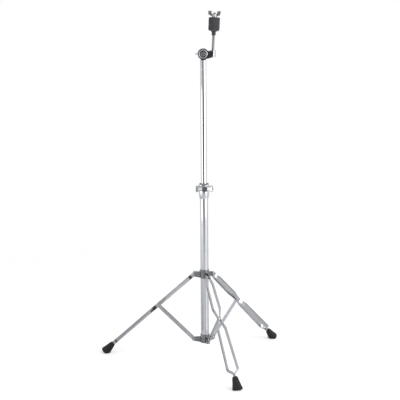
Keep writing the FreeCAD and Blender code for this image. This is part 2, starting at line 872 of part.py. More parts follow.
def tilter_wing_nut():
    """Butterfly nut behind the tilter, its wings level."""
    nut = wing_head(wing_root_radius, wing_boss_length, wing_half_span)
    nut = nut.cut(cylinder(thread_radius + running, -1, wing_boss_length + 8))
    nut = along_y(nut)
    nut.translate(V(0, tilter_nut_y(), 0))
    return on_tilter(nut)


def tilter_springs():
    """Two dished spring washers, rim to rim, that part the discs when the nut is loosened."""
    floor = spring_pocket + disc_gap / 2
    inner = thread_radius + 2 * running
    one = turned([
        (spring_radius, running),
        (spring_radius, running + spring_sheet),
        (inner, floor - running),
        (inner, floor - running - spring_sheet),
    ])
    pair = Part.makeCompound([one, moved(one, turn=180, axis=X_AXIS)])
    return on_tilter(along_y(pair))


# ---- Cymbal seat -------------------------------------------------------------------------

def cymbal_rod():
    start = -rod_boss_height / 2 + 1
    end = rod_boss_height / 2 + rod_above_boss
    rod = cylinder(rod_radius, start, end)
    tip = [e for e in rod.Edges if abs(e.CenterOfMass.z - end) < 0.01]
    return rod_frame(rod.makeChamfer(0.8, tip))


def seat_bottom():
    """Where the cup washer stands on the sleeve's flange."""
    return sleeve_start + 12.0


def rod_sleeve():
    """Black plastic sleeve on the rod: a stout foot, a flange and a thin tube inside the felts."""
    foot = cylinder(sleeve_radius, sleeve_start, seat_bottom() - sleeve_flange)
    flange = cylinder(sleeve_flange_radius, seat_bottom() - sleeve_flange, seat_bottom())
    neck = cylinder(sleeve_radius - 0.6, seat_bottom(), sleeve_start + sleeve_length)
    bore = cylinder(rod_radius, sleeve_start - 1, sleeve_start + sleeve_length + 1)
    return rod_frame(joined([foot, flange, neck]).cut(bore))


def cup_washer():
    """Dished steel washer under the lower felt."""
    start = seat_bottom()
    sheet = cup_washer_sheet
    rim = cup_washer_radius
    dish = turned([
        (sleeve_radius - 0.6, start),
        (rim - 4, start),
        (rim, start + cup_washer_dish - 0.6),
        (rim, start + cup_washer_dish + sheet - 0.6),
        (rim - 4, start + sheet),
        (sleeve_radius - 0.6, start + sheet),
    ])
    return rod_frame(dish)


def felt_block(start, height, recess):
    """Round felt pad with rounded edges and a hole for the sleeve."""
    pad = cylinder(felt_radius, start, start + height)
    rims = [e for e in pad.Edges if e.Closed and len(e.Vertexes) == 1]
    pad = pad.makeFillet(felt_round, rims)
    hole = cylinder(sleeve_radius - 0.4, start - 1, start + height + 1)
    return pad.cut(hole).cut(recess) if recess else pad.cut(hole)


def lower_felt_start():
    return seat_bottom() + cup_washer_sheet


def mid_washer_start():
    return lower_felt_start() + felt_height


def upper_felt_start():
    return mid_washer_start() + mid_washer_thickness


def nut_washer_start():
    return upper_felt_start() + felt_height


def cymbal_nut_start():
    return nut_washer_start() + nut_washer_thickness


def lower_felt():
    """Its underside is hollowed to sit in the cup washer with a small gap."""
    start = seat_bottom()
    hollow = turned([
        (0, start),
        (cup_washer_radius - 4, start + cup_washer_sheet),
        (cup_washer_radius + 0.2, start + cup_washer_dish + cup_washer_sheet),
        (cup_washer_radius + 0.2, start - 1),
        (0, start - 1),
    ])
    return rod_frame(felt_block(lower_felt_start(), felt_height, hollow))


def upper_felt():
    return rod_frame(felt_block(upper_felt_start(), felt_height, None))


def mid_washer():
    """Thin steel washer between the felts, where the cymbal goes."""
    start = mid_washer_start()
    return rod_frame(
        ring(cup_washer_radius, sleeve_radius - 0.4, start, start + mid_washer_thickness)
    )


def nut_washer():
    start = nut_washer_start()
    return rod_frame(ring(nut_washer_radius, rod_radius + running, start, cymbal_nut_start()))


def cymbal_wing_nut():
    nut = wing_head(cymbal_nut_radius, cymbal_nut_length, cymbal_nut_half_span)
    nut = nut.cut(cylinder(rod_radius + running, -1, cymbal_nut_length + 8))
    nut.translate(V(0, 0, cymbal_nut_start()))
    return rod_frame(nut)


# ---- Assembly ----------------------------------------------------------------------------

def leg_nodes(name, azimuth):
    """Strips, rivets, foot and brace of one leg."""
    top_clearance = running if name == "front" else open_pivot
    strip = leg_strip(top_clearance)
    mid_rivet = rivet(
        rivet_radius, rivet_head_radius, rivet_head_height, strip_at_brace + strip_flat
    )
    foot_rivet = rivet(
        rivet_radius, rivet_head_radius, rivet_head_height, foot_fit / 2 + strip_flat
    )
    return {
        f"leg_{name}_strip_a": on_leg(strip, azimuth),
        f"leg_{name}_strip_b": on_leg(mirrored(strip), azimuth),
        f"leg_{name}_brace_rivet": on_leg(moved(mid_rivet, to=V(link_length, 0, 0)), azimuth),
        f"leg_{name}_foot_rivet": on_leg(
            moved(foot_rivet, to=V(foot_rivet_at, 0, 0)), azimuth
        ),
        f"leg_{name}_foot": flattened(on_leg(foot(), azimuth)),
        f"brace_{name}": on_brace(brace(), azimuth),
    }


def stand():
    nodes = {
        "base_tube": base_tube().cut(hub_rivet_holes()),
        "base_tube_plug": base_tube_plug(),
        "lower_hub": lower_hub(),
        "lower_hub_rivets": lower_hub_rivets(),
        "brace_pins": pivot_pins(hub_pivot_z, ear_half),
        "leg_collar": leg_collar(),
        "leg_pins": pivot_pins(collar_pivot_z, strip_at_collar + strip_flat + side_gap),
        "collar_shoe": on_collar_bolt(shoe(base_tube_radius)),
        "collar_wing_bolt": on_collar_bolt(collar_wing_bolt()),
        "tube_clamp": tube_clamp(),
        "clamp_bushing": clamp_bushing(),
        "clamp_shoe": on_clamp(shoe(upper_tube_radius)),
        "clamp_wing_bolt": on_clamp(clamp_wing_bolt()),
        "tube_glide": tube_glide(),
        "upper_tube": upper_tube(),
        "tilter_base": tilter_base(),
        "tilter_arm": tilter_arm(),
        "tilter_bolt": tilter_bolt(),
        "tilter_springs": tilter_springs(),
        "tilter_washer": tilter_washer(),
        "tilter_wing_nut": tilter_wing_nut(),
        "cymbal_rod": cymbal_rod(),
        "rod_sleeve": rod_sleeve(),
        "cup_washer": cup_washer(),
        "lower_felt": lower_felt(),
        "mid_washer": mid_washer(),
        "upper_felt": upper_felt(),
        "nut_washer": nut_washer(),
        "cymbal_wing_nut": cymbal_wing_nut(),
    }
    for name, azimuth in leg_azimuths.items():
        nodes.update(leg_nodes(name, azimuth))
    return nodes


def footprint_middle(nodes):
    """Middle of the whole stand's box, seen from above."""
    box = FreeCAD.BoundBox()
    for shape in nodes.values():
        box.add(shape.optimalBoundingBox(False))
    return V(box.Center.x, box.Center.y, 0)


def main():
    os.makedirs("parts", exist_ok=True)
    nodes = stand()
    middle = footprint_middle(nodes)
    for name, shape in nodes.items():
        shape.translate(middle * -1)
        shape.exportStep(f"parts/{name}.step")
    print(f"{len(nodes)} nodes; tube axis at {-middle.x:.4f}, {-middle.y:.4f}")


main()
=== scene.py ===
import bmesh
import bpy
import json
import math
import numpy as np
from mathutils import Matrix, Vector


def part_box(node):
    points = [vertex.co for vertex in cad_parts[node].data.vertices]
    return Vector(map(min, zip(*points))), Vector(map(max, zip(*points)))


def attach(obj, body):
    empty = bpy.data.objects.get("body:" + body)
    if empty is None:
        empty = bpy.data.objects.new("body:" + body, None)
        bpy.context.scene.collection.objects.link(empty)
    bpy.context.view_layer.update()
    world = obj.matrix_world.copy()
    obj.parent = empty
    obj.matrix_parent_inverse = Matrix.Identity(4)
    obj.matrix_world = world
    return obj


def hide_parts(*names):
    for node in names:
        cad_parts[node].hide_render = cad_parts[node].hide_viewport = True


# Straight cymbal stand: chrome tubes, pressed legs, cast fittings, rubber feet, felts.
# The stand's sizes are in millimetres, meshes and the studio in metres, angles in degrees.

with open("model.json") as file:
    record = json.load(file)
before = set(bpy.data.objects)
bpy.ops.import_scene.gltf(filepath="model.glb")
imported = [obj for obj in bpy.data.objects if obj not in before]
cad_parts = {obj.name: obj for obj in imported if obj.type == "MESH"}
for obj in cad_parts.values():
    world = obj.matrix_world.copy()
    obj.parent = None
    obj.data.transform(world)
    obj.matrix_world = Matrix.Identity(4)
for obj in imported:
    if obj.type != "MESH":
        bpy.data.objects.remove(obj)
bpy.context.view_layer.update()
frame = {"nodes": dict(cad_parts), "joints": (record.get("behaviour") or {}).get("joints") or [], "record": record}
MM = 0.001

# ---- Places read from the frame ----

joints = {j["name"]: j for j in frame["joints"]}


def joint_place(name):
    """Where a joint stands, in metres."""
    return np.array(joints[name]["pos_m"])


def joint_axis(name):
    """Unit vector along a joint's axis."""
    axis = np.array(joints[name]["axis"], float)
    return axis / np.linalg.norm(axis)


def node_points(node):
    """Vertices of a CAD node, in metres."""
    mesh = frame["nodes"][node].data
    points = np.zeros(len(mesh.vertices) * 3)
    mesh.vertices.foreach_get("co", points)
    return points.reshape(-1, 3)


def middle(node):
    """Middle of a CAD node's box."""
    low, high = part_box(node)
    return np.array((low + high) / 2)


def reach(node, origin, axis, near=15.0):
    """How far, in mm, a node reaches along an axis and out from it, close to a point."""
    offset = (node_points(node) - origin) / MM
    offset = offset[np.linalg.norm(offset, axis=1) < near]
    along = offset @ axis
    out = np.linalg.norm(offset - along[:, None] * axis, axis=1)
    return along.min(), along.max(), out.max()


UP = np.array([0.0, 0.0, 1.0])
tube_axis = middle("base_tube")
tube_axis[2] = 0
LEGS = ("front", "left", "right")

# ---- Finishes ----

NOISE_LOW, NOISE_HIGH = 0.3, 0.7  # a noise texture stays mostly between these
SMUDGE_MM = 34.0
WIPING_MM = 0.9
MARKS_LOW, MARKS_HIGH = 0.12, 0.42  # the same for smudges times wiping marks
CLEAN, MARKED = 0.6, 1.7  # roughness of clean and marked plate, as shares
FIBRE_BEND_MM = 6.0


def linear(colour):
    """Linear RGBA of an sRGB hex colour."""
    parts = np.array([int(colour[i:i + 2], 16) for i in (0, 2, 4)]) / 255
    parts = np.where(parts <= 0.04045, parts / 12.92, ((parts + 0.055) / 1.055) ** 2.4)
    return (*parts.tolist(), 1.0)


def per(size_mm):
    """Texture scale whose features are about that size."""
    return 1 / (size_mm * MM)


def add(tree, kind, sockets=None, **settings):
    """Adds a node, sets its properties, and sets or links its input sockets."""
    node = tree.nodes.new(kind)
    for key, value in settings.items():
        setattr(node, key, value)
    for key, value in (sockets or {}).items():
        if isinstance(value, bpy.types.NodeSocket):
            tree.links.new(value, node.inputs[key])
        else:
            node.inputs[key].default_value = value
    return node


def new_material(name):
    """Empty material, its tree and the Object coordinates that its patterns read."""
    material = bpy.data.materials.new(name)
    material.use_nodes = True
    tree = material.node_tree
    tree.nodes.clear()
    place = add(tree, "ShaderNodeTexCoord").outputs["Object"]
    return material, tree, place


def finish_material(tree, shader):
    """Links a shader to the material's surface."""
    add(tree, "ShaderNodeOutputMaterial", {"Surface": shader.outputs[0]})


def ranged(tree, value, low, high, start=NOISE_LOW, stop=NOISE_HIGH):
    """A 0 to 1 texture value spread over a wanted range."""
    node = add(tree, "ShaderNodeMapRange", {
        "Value": value, "From Min": start, "From Max": stop, "To Min": low, "To Max": high,
    })
    return node.outputs["Result"]


def colour_mix(tree, factor, first, second):
    """Two hex colours mixed by a texture value."""
    ramp = add(tree, "ShaderNodeValToRGB", {"Fac": factor})
    ends = ((NOISE_LOW, first), (NOISE_HIGH, second))
    for element, (position, colour) in zip(ramp.color_ramp.elements, ends):
        element.position = position
        element.color = linear(colour)
    return ramp.outputs["Color"]


def plated(name, light, dull, rough, peel_mm, peel_depth_mm, streak=(1, 1, 1)):
    """Plated metal: a mirror with faint smudges, a slow waviness and fine wiping marks."""
    material, tree, place = new_material(name)
    smudge = add(tree, "ShaderNodeTexNoise", {
        "Vector": place, "Scale": per(SMUDGE_MM), "Detail": 4.0, "Roughness": 0.6,
    }).outputs["Fac"]
    stretched = add(tree, "ShaderNodeMapping", {"Vector": place, "Scale": streak})
    wiping = add(tree, "ShaderNodeTexNoise", {
        "Vector": stretched.outputs["Vector"], "Scale": per(WIPING_MM), "Detail": 2.0,
    }).outputs["Fac"]
    peel = add(tree, "ShaderNodeTexNoise", {
        "Vector": place, "Scale": per(peel_mm), "Detail": 2.0, "Roughness": 0.45,
    }).outputs["Fac"]
    both = add(tree, "ShaderNodeMath", {0: smudge, 1: wiping}, operation="MULTIPLY")
    bump = add(tree, "ShaderNodeBump", {
        "Height": peel, "Strength": 1.0, "Distance": peel_depth_mm * MM,
    })
    shader = add(tree, "ShaderNodeBsdfPrincipled", {
        "Base Color": colour_mix(tree, smudge, light, dull),
        "Metallic": 1.0,
        "Roughness": ranged(tree, both.outputs[0], rough * CLEAN, rough * MARKED,
                            MARKS_LOW, MARKS_HIGH),
        "Normal": bump.outputs["Normal"],
    })
    finish_material(tree, shader)
    return material


def moulded_rubber():
    """Compression moulded black rubber: matt, a grained skin and a little dust."""
    material, tree, place = new_material("moulded_black_rubber")
    dust = add(tree, "ShaderNodeTexNoise", {
        "Vector": place, "Scale": per(11.0), "Detail": 5.0, "Roughness": 0.65,
    }).outputs["Fac"]
    grain = add(tree, "ShaderNodeTexNoise", {
        "Vector": place, "Scale": per(0.55), "Detail": 3.0, "Roughness": 0.7,
    }).outputs["Fac"]
    bump = add(tree, "ShaderNodeBump", {
        "Height": grain, "Strength": 0.8, "Distance": 0.10 * MM,
    })
    shader = add(tree, "ShaderNodeBsdfPrincipled", {
        "Base Color": colour_mix(tree, dust, "0C0C0D", "1E1E20"),
        "Roughness": ranged(tree, dust, 0.48, 0.66),
        "IOR": 1.52,
        "Specular IOR Level": 0.3,
        "Normal": bump.outputs["Normal"],
    })
    finish_material(tree, shader)
    return material


def moulded_nylon():
    """Injection moulded black nylon: satin with a fine spark-eroded texture."""
    material, tree, place = new_material("moulded_black_nylon")
    wear = add(tree, "ShaderNodeTexNoise", {
        "Vector": place, "Scale": per(6.0), "Detail": 3.0,
    }).outputs["Fac"]
    grain = add(tree, "ShaderNodeTexVoronoi", {
        "Vector": place, "Scale": per(0.35),
    }).outputs["Distance"]
    bump = add(tree, "ShaderNodeBump", {
        "Height": grain, "Strength": 0.5, "Distance": 0.03 * MM,
    })
    shader = add(tree, "ShaderNodeBsdfPrincipled", {
        "Base Color": colour_mix(tree, wear, "151517", "202023"),
        "Roughness": ranged(tree, wear, 0.34, 0.46),
        "IOR": 1.53,
        "Normal": bump.outputs["Normal"],
    })
    finish_material(tree, shader)
    return material


def pressed_felt():
    """Pressed wool felt, dyed charcoal: matted fibres, paler flecks, a soft nap."""
    material, tree, place = new_material("pressed_wool_felt")
    matting = add(tree, "ShaderNodeTexNoise", {
        "Vector": place, "Scale": per(2.6), "Detail": 6.0, "Roughness": 0.7,
    }).outputs["Fac"]
    warped = add(tree, "ShaderNodeTexNoise", {
        "Vector": place, "Scale": per(5.0), "Detail": 2.0,
    }).outputs["Color"]
    bent = add(tree, "ShaderNodeVectorMath", {0: warped, 1: (FIBRE_BEND_MM * MM,) * 3},
               operation="MULTIPLY")
    moved = add(tree, "ShaderNodeVectorMath", {0: place, 1: bent.outputs[0]}, operation="ADD")
    fibres = add(tree, "ShaderNodeTexNoise", {
        "Vector": moved.outputs[0], "Scale": per(0.7), "Detail": 3.0, "Roughness": 0.8,
        "Distortion": 1.2,
    }).outputs["Fac"]
    height = add(tree, "ShaderNodeMath", {0: matting, 1: fibres}, operation="ADD")
    bump = add(tree, "ShaderNodeBump", {
        "Height": height.outputs[0], "Strength": 1.0, "Distance": 0.45 * MM,
    })
    shader = add(tree, "ShaderNodeBsdfPrincipled", {
        "Base Color": colour_mix(tree, fibres, "1B1B1E", "49494D"),
        "Roughness": 0.95,
        "Sheen Weight": 0.35,
        "Sheen Roughness": 0.5,
        "Sheen Tint": linear("8C8C92"),
        "Normal": bump.outputs["Normal"],
    })
    finish_material(tree, shader)
    return material


# Chrome over nickel on drawn steel tube: a clear mirror, a touch cool.
chrome = plated("bright_chrome_tube", "C8CACD", "BFC1C5", 0.055, 9.0, 0.006, (1, 1, 0.06))
# Chrome on pressed sheet steel: the forming marks show as a soft orange peel.
sheet_chrome = plated("chrome_pressed_sheet", "B9BBBF", "AAACB0", 0.13, 3.2, 0.016)
# Thin chrome over unpolished formed steel, a blurred mirror with soft edges; its base colour is darkened as
# painted shade, for the shaded floor under the stand that the hubs reflect.
shade_darkened_hub_chrome = plated("hub_chrome_painted_shade", "84868A", "6A6C70", 0.20, 2.4, 0.024)
# Chrome on die-cast zinc, tumbled before plating: slow waves and soft edges.
die_cast = plated("chrome_die_cast", "A6A8AC", "94969B", 0.17, 4.5, 0.030)
# Satin plate on die-cast wing heads: tumbled only, so it blurs what it reflects.
wing_cast = plated("satin_die_cast", "BCBDC0", "A2A4A8", 0.36, 2.0, 0.020)
# Die-cast chrome of the tilter's raised ring, lighter than the rest of the casting as a painted highlight for the
# lamps it reflects.
highlight_brightened_cast = plated("die_cast_painted_highlight", "C6C7CA", "B4B6BA", 0.16, 3.0, 0.020)
# Zinc plate on a rolled M8 thread: dull and grey between its bright crests.
thread_zinc = plated("zinc_plated_thread", "8E9093", "76787C", 0.42, 0.9, 0.010)
# Clear zinc plate on steel washers and bolts: satin, with a faint mottle.
zinc = plated("zinc_plated_steel", "A9ABAE", "8F9296", 0.34, 1.1, 0.012)
# Nickel plated semi-tubular rivets, set cold: satin domes with a warm tone.
nickel = plated("nickel_plated_rivet", "B4B2AE", "9C9A97", 0.24, 1.6, 0.014)
# Oiled spring steel: dark grey with a blue cast.
spring = plated("oiled_spring_steel", "6A6C72", "54565C", 0.3, 1.4, 0.010)
# Turned brass shoe, lightly oxidised.
brass = plated("turned_brass", "C9A05A", "A98445", 0.26, 0.8, 0.008)
rubber = moulded_rubber()
nylon = moulded_nylon()
felt = pressed_felt()

# ---- Shape helpers ----

NEARLY_ALONG = 0.98  # cosine past which a direction lies too close to the axis
EDGE_SHARE = 0.48  # most of an edge that one rounded corner may take
MERGE = 0.0005 * MM
CAD_MERGE = 0.001 * MM
CAD_FLAT = 0.4
CAD_CREASE = 30
RINGS_PER_PITCH = 8
FLANK_SLOPE = 2.4
CREST_FLAT = 0.15
THREAD_CHAMFER = 0.5


def across(axis, like=None):
    """Two unit vectors square to an axis and each other, the first near `like`."""
    like = np.array([1.0, 0, 0]) if like is None else np.array(like, float)
    if abs(like @ axis) > NEARLY_ALONG:
        like = np.array([0, 1.0, 0])
    first = like - (like @ axis) * axis
    first /= np.linalg.norm(first)
    return first, np.cross(axis, first)


def rounded(points, radius, steps=5, closed=True):
    """Outline with its corners rounded: each is a quadratic curve between its two edges.

    The curve starts and ends `radius` from the corner, or EDGE_SHARE of a shorter edge.
    """
    points = np.array(points, float)
    radius = np.broadcast_to(np.array(radius, float), len(points))
    before, after = np.roll(points, 1, 0), np.roll(points, -1, 0)
    t = np.linspace(0, 1, steps)[:, None]
    out = []
    for i, corner in enumerate(points):
        if not closed and i in (0, len(points) - 1):
            out.append(corner[None])
            continue
        to_a, to_b = before[i] - corner, after[i] - corner
        length_a, length_b = np.linalg.norm(to_a), np.linalg.norm(to_b)
        trim = min(radius[i], EDGE_SHARE * length_a, EDGE_SHARE * length_b)
        a, b = corner + to_a / length_a * trim, corner + to_b / length_b * trim
        out.append((1 - t) ** 2 * a + 2 * t * (1 - t) * corner + t ** 2 * b)
    return np.concatenate(out)


def even_loop(outline, count):
    """Points spread evenly along a closed outline."""
    loop = np.concatenate([outline, outline[:1]])
    length = np.concatenate([[0], np.cumsum(np.linalg.norm(np.diff(loop, axis=0), axis=1))])
    even = np.linspace(0, length[-1], count, endpoint=False)
    return np.stack([np.interp(even, length, loop[:, k]) for k in (0, 1)], 1)


def shaped(name, material, mesh, crease=40):
    """Object from a mesh: doubles merged, faces outwards, smooth except at sharp creases."""
    solid = bmesh.new()
    solid.from_mesh(mesh)
    bmesh.ops.remove_doubles(solid, verts=solid.verts, dist=MERGE)
    bmesh.ops.dissolve_degenerate(solid, edges=solid.edges, dist=MERGE)
    bmesh.ops.recalc_face_normals(solid, faces=solid.faces)
    solid.to_mesh(mesh)
    solid.free()
    mesh.shade_smooth()
    mesh.set_sharp_from_angle(angle=math.radians(crease))
    mesh.materials.clear()
    mesh.materials.append(material)
    thing = bpy.data.objects.new(name, mesh)
    bpy.context.scene.collection.objects.link(thing)
    return thing


def surface(name, material, grids, crease=40):
    """Closed surface, or several, from grids of points: rows go along, columns around.

    A grid is (points, wrap). Its columns close on themselves. With `wrap` the last row joins
    the first, as in a ring, and without it each end is drawn together at its middle.
    """
    vertices, faces, start = [], [], 0
    for points, wrap in grids:
        if not wrap:
            ends = [np.broadcast_to(points[i].mean(0), points[i].shape) for i in (0, -1)]
            points = np.concatenate([ends[0][None], points, ends[1][None]])
        rows, columns = points.shape[:2]
        index = np.arange(rows * columns).reshape(rows, columns) + start
        here = index if wrap else index[:-1]
        there = np.roll(index, -1, 0) if wrap else index[1:]
        quads = [here, np.roll(here, -1, 1), np.roll(there, -1, 1), there]
        vertices.append(points.reshape(-1, 3))
        faces.append(np.stack(quads, -1).reshape(-1, 4))
        start += rows * columns
    mesh = bpy.data.meshes.new(name)
    mesh.from_pydata(np.concatenate(vertices).tolist(), [], np.concatenate(faces).tolist())
    return shaped(name, material, mesh, crease)


def ring_of(axis, segments):
    """Angles round an axis and the unit vectors square to it at those angles."""
    first, second = across(axis)
    angle = np.linspace(0, 2 * math.pi, segments, endpoint=False)
    return angle, np.cos(angle)[:, None] * first + np.sin(angle)[:, None] * second


def turned(profile, origin, axis, segments=96):
    """Grid of a surface of revolution: (radius, height) points in mm, turned about the axis."""
    profile = np.array(profile, float)
    _, ring = ring_of(axis, segments)
    return origin + MM * (profile[:, 0, None, None] * ring + profile[:, 1, None, None] * axis)


def domed(radius, height, base, steps=8):
    """Profile points of a dome from its rim to its top, an ellipse's quarter."""
    t = np.linspace(0, math.pi / 2, steps)
    return [(radius * math.cos(a), base + height * math.sin(a)) for a in t]


def plate(outline, centre, profile, origin, span, rise, normal, count=128):
    """Grid of a cushion-like plate: an outline scaled towards a centre, with a thickness.

    `profile` gives (share of the way from centre to outline, half thickness in mm). The
    outline runs in the plane of span and rise, and is spread evenly along its length.
    """
    edge = even_loop(outline, count)
    profile = list(profile) + [(share, -half) for share, half in reversed(profile)]
    rows = []
    for share, half in profile:
        flat = centre + share * (edge - centre)
        rows.append(origin + MM * (flat[:, :1] * span + flat[:, 1:] * rise + half * normal))
    return np.array(rows)


def thread(radius, start, end, origin, axis, pitch=1.25, depth=0.68, segments=32):
    """Grid of a threaded bar: the radius falls and rises once a pitch along a helix.

    The fall is a clipped triangle wave. At each end it fades over one pitch to a chamfer.
    """
    along = np.linspace(start, end, int((end - start) / pitch * RINGS_PER_PITCH))
    angle, ring = ring_of(axis, segments)
    turn = (along[:, None] / pitch - angle / (2 * math.pi)) % 1
    wave = np.clip(np.abs(turn - 0.5) * FLANK_SLOPE - CREST_FLAT, 0, 1)
    fade = np.clip(np.minimum(along - start, end - along) / pitch, 0, 1)[:, None]
    size = radius - depth * wave * fade - THREAD_CHAMFER * (1 - fade)
    return origin + MM * (size[..., None] * ring + along[:, None, None] * axis)


def fit(thing, body, slot, *nodes):
    """The piece rides on its body and stands for its CAD nodes."""
    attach(thing, body)
    if nodes:
        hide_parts(*nodes)
    return thing


def dressed(name, material, node, body, slot, edge, segments=2):
    """Merged copy of a CAD node, fitted in its place.

    A small bevel rounds its sharp edges, and its large faces lead the shading.
    """
    mesh = frame["nodes"][node].data.copy()
    mesh.name = name
    solid = bmesh.new()
    solid.from_mesh(mesh)
    bmesh.ops.remove_doubles(solid, verts=solid.verts, dist=CAD_MERGE)
    bmesh.ops.dissolve_limit(
        solid, angle_limit=math.radians(CAD_FLAT), verts=solid.verts, edges=solid.edges
    )
    solid.to_mesh(mesh)
    solid.free()
    thing = shaped(name, material, mesh, CAD_CREASE)
    bevel = thing.modifiers.new("edges", "BEVEL")
    bevel.width = edge * MM
    bevel.segments = segments
    bevel.limit_method = "ANGLE"
    bevel.angle_limit = math.radians(CAD_CREASE)
    bevel.harden_normals = True
    shading = thing.modifiers.new("shading", "WEIGHTED_NORMAL")
    shading.keep_sharp = True
    return fit(thing, body, slot, node)


# ---- Tubes ----

TUBE_WALL = 1.2
TUBE_RING = 1.5
LIP_INSIDE, LIP_OUTSIDE = 0.35, 0.45
CRIMP_BELOW_TOP = 28.0
CRIMP_HALF = 2.2
CRIMP_DEPTH = 0.35


def tube(name, node, crimp):
    """Tube with rounded lips; the crimp is a rolled groove shaped like a raised cosine.

    A ring beside each lip and the groove keeps the long wall's shading true.
    """
    low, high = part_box(node)
    radius = (high.x - low.x) / 2 / MM
    bottom, top = low.z / MM, high.z / MM
    outer = []
    if crimp:
        t = np.linspace(-1, 1, 17)
        centre = top - CRIMP_BELOW_TOP
        groove = radius - CRIMP_DEPTH * (1 + np.cos(math.pi * t)) / 2
        edge = CRIMP_HALF + TUBE_RING
        outer = [(radius, centre - edge), *zip(groove, centre + CRIMP_HALF * t),
                 (radius, centre + edge)]
    outer = [(radius, bottom + TUBE_RING), *outer, (radius, top - TUBE_RING)]
    inner = radius - TUBE_WALL
    lips = rounded(
        [(inner, top), (inner, bottom), (radius, bottom), *outer, (radius, top)],
        [LIP_INSIDE, LIP_INSIDE, LIP_OUTSIDE, *([0] * len(outer)), LIP_OUTSIDE], steps=4,
    )
    return surface(name, chrome, [(turned(lips, tube_axis, UP, 128), True)])


fit(tube("lower_tube_chrome", "base_tube", False), "base", "chrome_tube", "base_tube")
fit(tube("upper_tube_chrome", "upper_tube", True), "upper_tube", "chrome_tube", "upper_tube")

# ---- Legs and braces ----

STRIP_WIDTH = 12.2
STRIP_DEPTH = 4.4
STRIP_FLAT = 2.2
STRIP_SHEET = 1.2
FLAT_HALF = 8.0
# How far a strip stands from its leg's middle plane at each rivet and along each run
AT_COLLAR = 4.2
AT_BRACE = 2.4
AT_FOOT = 0.05
UPPER_RUN = (7.3, 9.0)
LOWER_RUN = (9.8, 13.8)
JOGGLES = (20.0, 28.0, 25.0, 11.0)  # lengths of the sloping parts, from the collar down
FOOT_FLAT = 13.0
FOOT_ABOVE_END = 27.0
STRIP_BEFORE_END = 5.0
BRACE_WIDTH = 11.8
BRACE_DEPTH = 4.4
BRACE_RECESS = 1.5
BRACE_RAMP = 8.0
BEND_MM = 5.0
BEND_STEP = 0.5
BEND_FROM, BEND_TO = -30, 460  # longer than any bar, with its ends
STATION_MM = 2.0
END_STATIONS = 12
END_TURN = 0.04  # radians between a round end's tip and its first station
TIP_HALF = 0.02
SKIN = 0.02  # a channel's least depth, where the bar is flat
GROOVE_RAMP = 1.6  # the groove deepens over the last part of the pressing
LIP_SHARE = 0.3
GROOVE_WALL = 0.35
WALL_SHARE = 0.1
SECTION_SHARE = 0.45
SECTION_ROUND = (1.5, 0.5, 0.7, 0.7, 0.5, 1.5, 0.75, 0.5, 0.7, 0.7, 0.5, 0.75)
RIVET_SHANK = 2.5
RIVET_CAP = 1.7
RIVET_FLANGE = 0.45
RIVET_INSET = 0.15
RIVET_SUNK = 1.0

hub_pivot = {n: joint_place(f"brace_{n}_fold") for n in LEGS}
mid_pivot = {n: joint_place(f"leg_{n}_fold") for n in LEGS}
side = {n: joint_axis(f"leg_{n}_fold") for n in LEGS}
outward = {n: np.cross(side[n], UP) for n in LEGS}
collar_z = joint_place("collar_rise")[2]
collar_pivot = {n: np.array([*hub_pivot[n][:2], collar_z]) for n in LEGS}


def leg_length(name):
    """Collar pivot to the leg's end, which lies over the middle of its foot's flat."""
    mount = next(m for m in frame["record"]["mounts"] if m["name"] == f"foot_{name}_face")
    run = (np.array(mount["pos_m"]) - collar_pivot[name]) @ outward[name]
    slope = mid_pivot[name] - collar_pivot[name]
    return run / (slope @ outward[name]) * np.linalg.norm(slope) / MM


def bar_frame(start, end):
    """Unit vector along a bar and its length in mm."""
    along = end - start
    length = np.linalg.norm(along)
    return along / length, length / MM


def corner_curves(corners, trim):
    """Section points of every station at once: each corner a quadratic curve, as in rounded."""
    before, after = np.roll(corners, 1, 1), np.roll(corners, -1, 1)
    to_a, to_b = before - corners, after - corners
    length_a = np.linalg.norm(to_a, axis=2, keepdims=True)
    length_b = np.linalg.norm(to_b, axis=2, keepdims=True)
    cut = np.minimum(np.minimum(trim, SECTION_SHARE * length_a), SECTION_SHARE * length_b)
    a = corners + to_a / length_a * cut
    b = corners + to_b / length_b * cut
    t = np.linspace(0, 1, 4)[None, None, :, None]
    curve = (1 - t) ** 2 * a[:, :, None] + 2 * t * (1 - t) * corners[:, :, None]
    curve = curve + t ** 2 * b[:, :, None]
    return curve.reshape(len(corners), -1, 2)


def channel(half, low, high, groove_low, groove_high):
    """Sections of a pressed bar: a flat or grooved face on each side and rolled lips.

    All are arrays over the stations; the result is (station, point, (across, out)).
    """
    lip = np.minimum(STRIP_SHEET, LIP_SHARE * half)
    wall = np.minimum(GROOVE_WALL, WALL_SHARE * half)
    inner, floor = half - lip, half - lip - wall
    sides = [
        (-half, low), (-inner, low), (-floor, low + groove_low), (floor, low + groove_low),
        (inner, low), (half, low), (half, high), (inner, high), (floor, high - groove_high),
        (-floor, high - groove_high), (-inner, high), (-half, high),
    ]
    corners = np.stack([np.stack(point, 1) for point in sides], 1)
    return corner_curves(corners, np.array(SECTION_ROUND)[None, :, None])


def stations(length, radius):
    """Places along a bar: close together round its ends, even between."""
    turn = np.linspace(END_TURN, math.pi / 2, END_STATIONS)
    between = np.arange(STATION_MM, length, STATION_MM)
    near, far = -radius * np.cos(turn), length + radius * np.sin(turn - END_TURN)
    return np.concatenate([near, between, far])


def end_width(places, length, radius):
    """Half width of a bar whose ends are round about its first and last place."""
    past = np.maximum(np.maximum(-places, places - length), 0)
    return np.sqrt(np.maximum(radius ** 2 - past ** 2, TIP_HALF ** 2))


def softened(places, knots, values):
    """Straight runs between the knots with every bend rounded by averaging twice."""
    fine = np.arange(BEND_FROM, BEND_TO, BEND_STEP)
    line = np.interp(fine, knots, values)
    width = int(BEND_MM / BEND_STEP)
    kernel = np.ones(width) / width
    for _ in range(2):
        line = np.convolve(np.pad(line, width, mode="edge"), kernel, "same")[width:-width]
    return np.interp(places, fine, line)


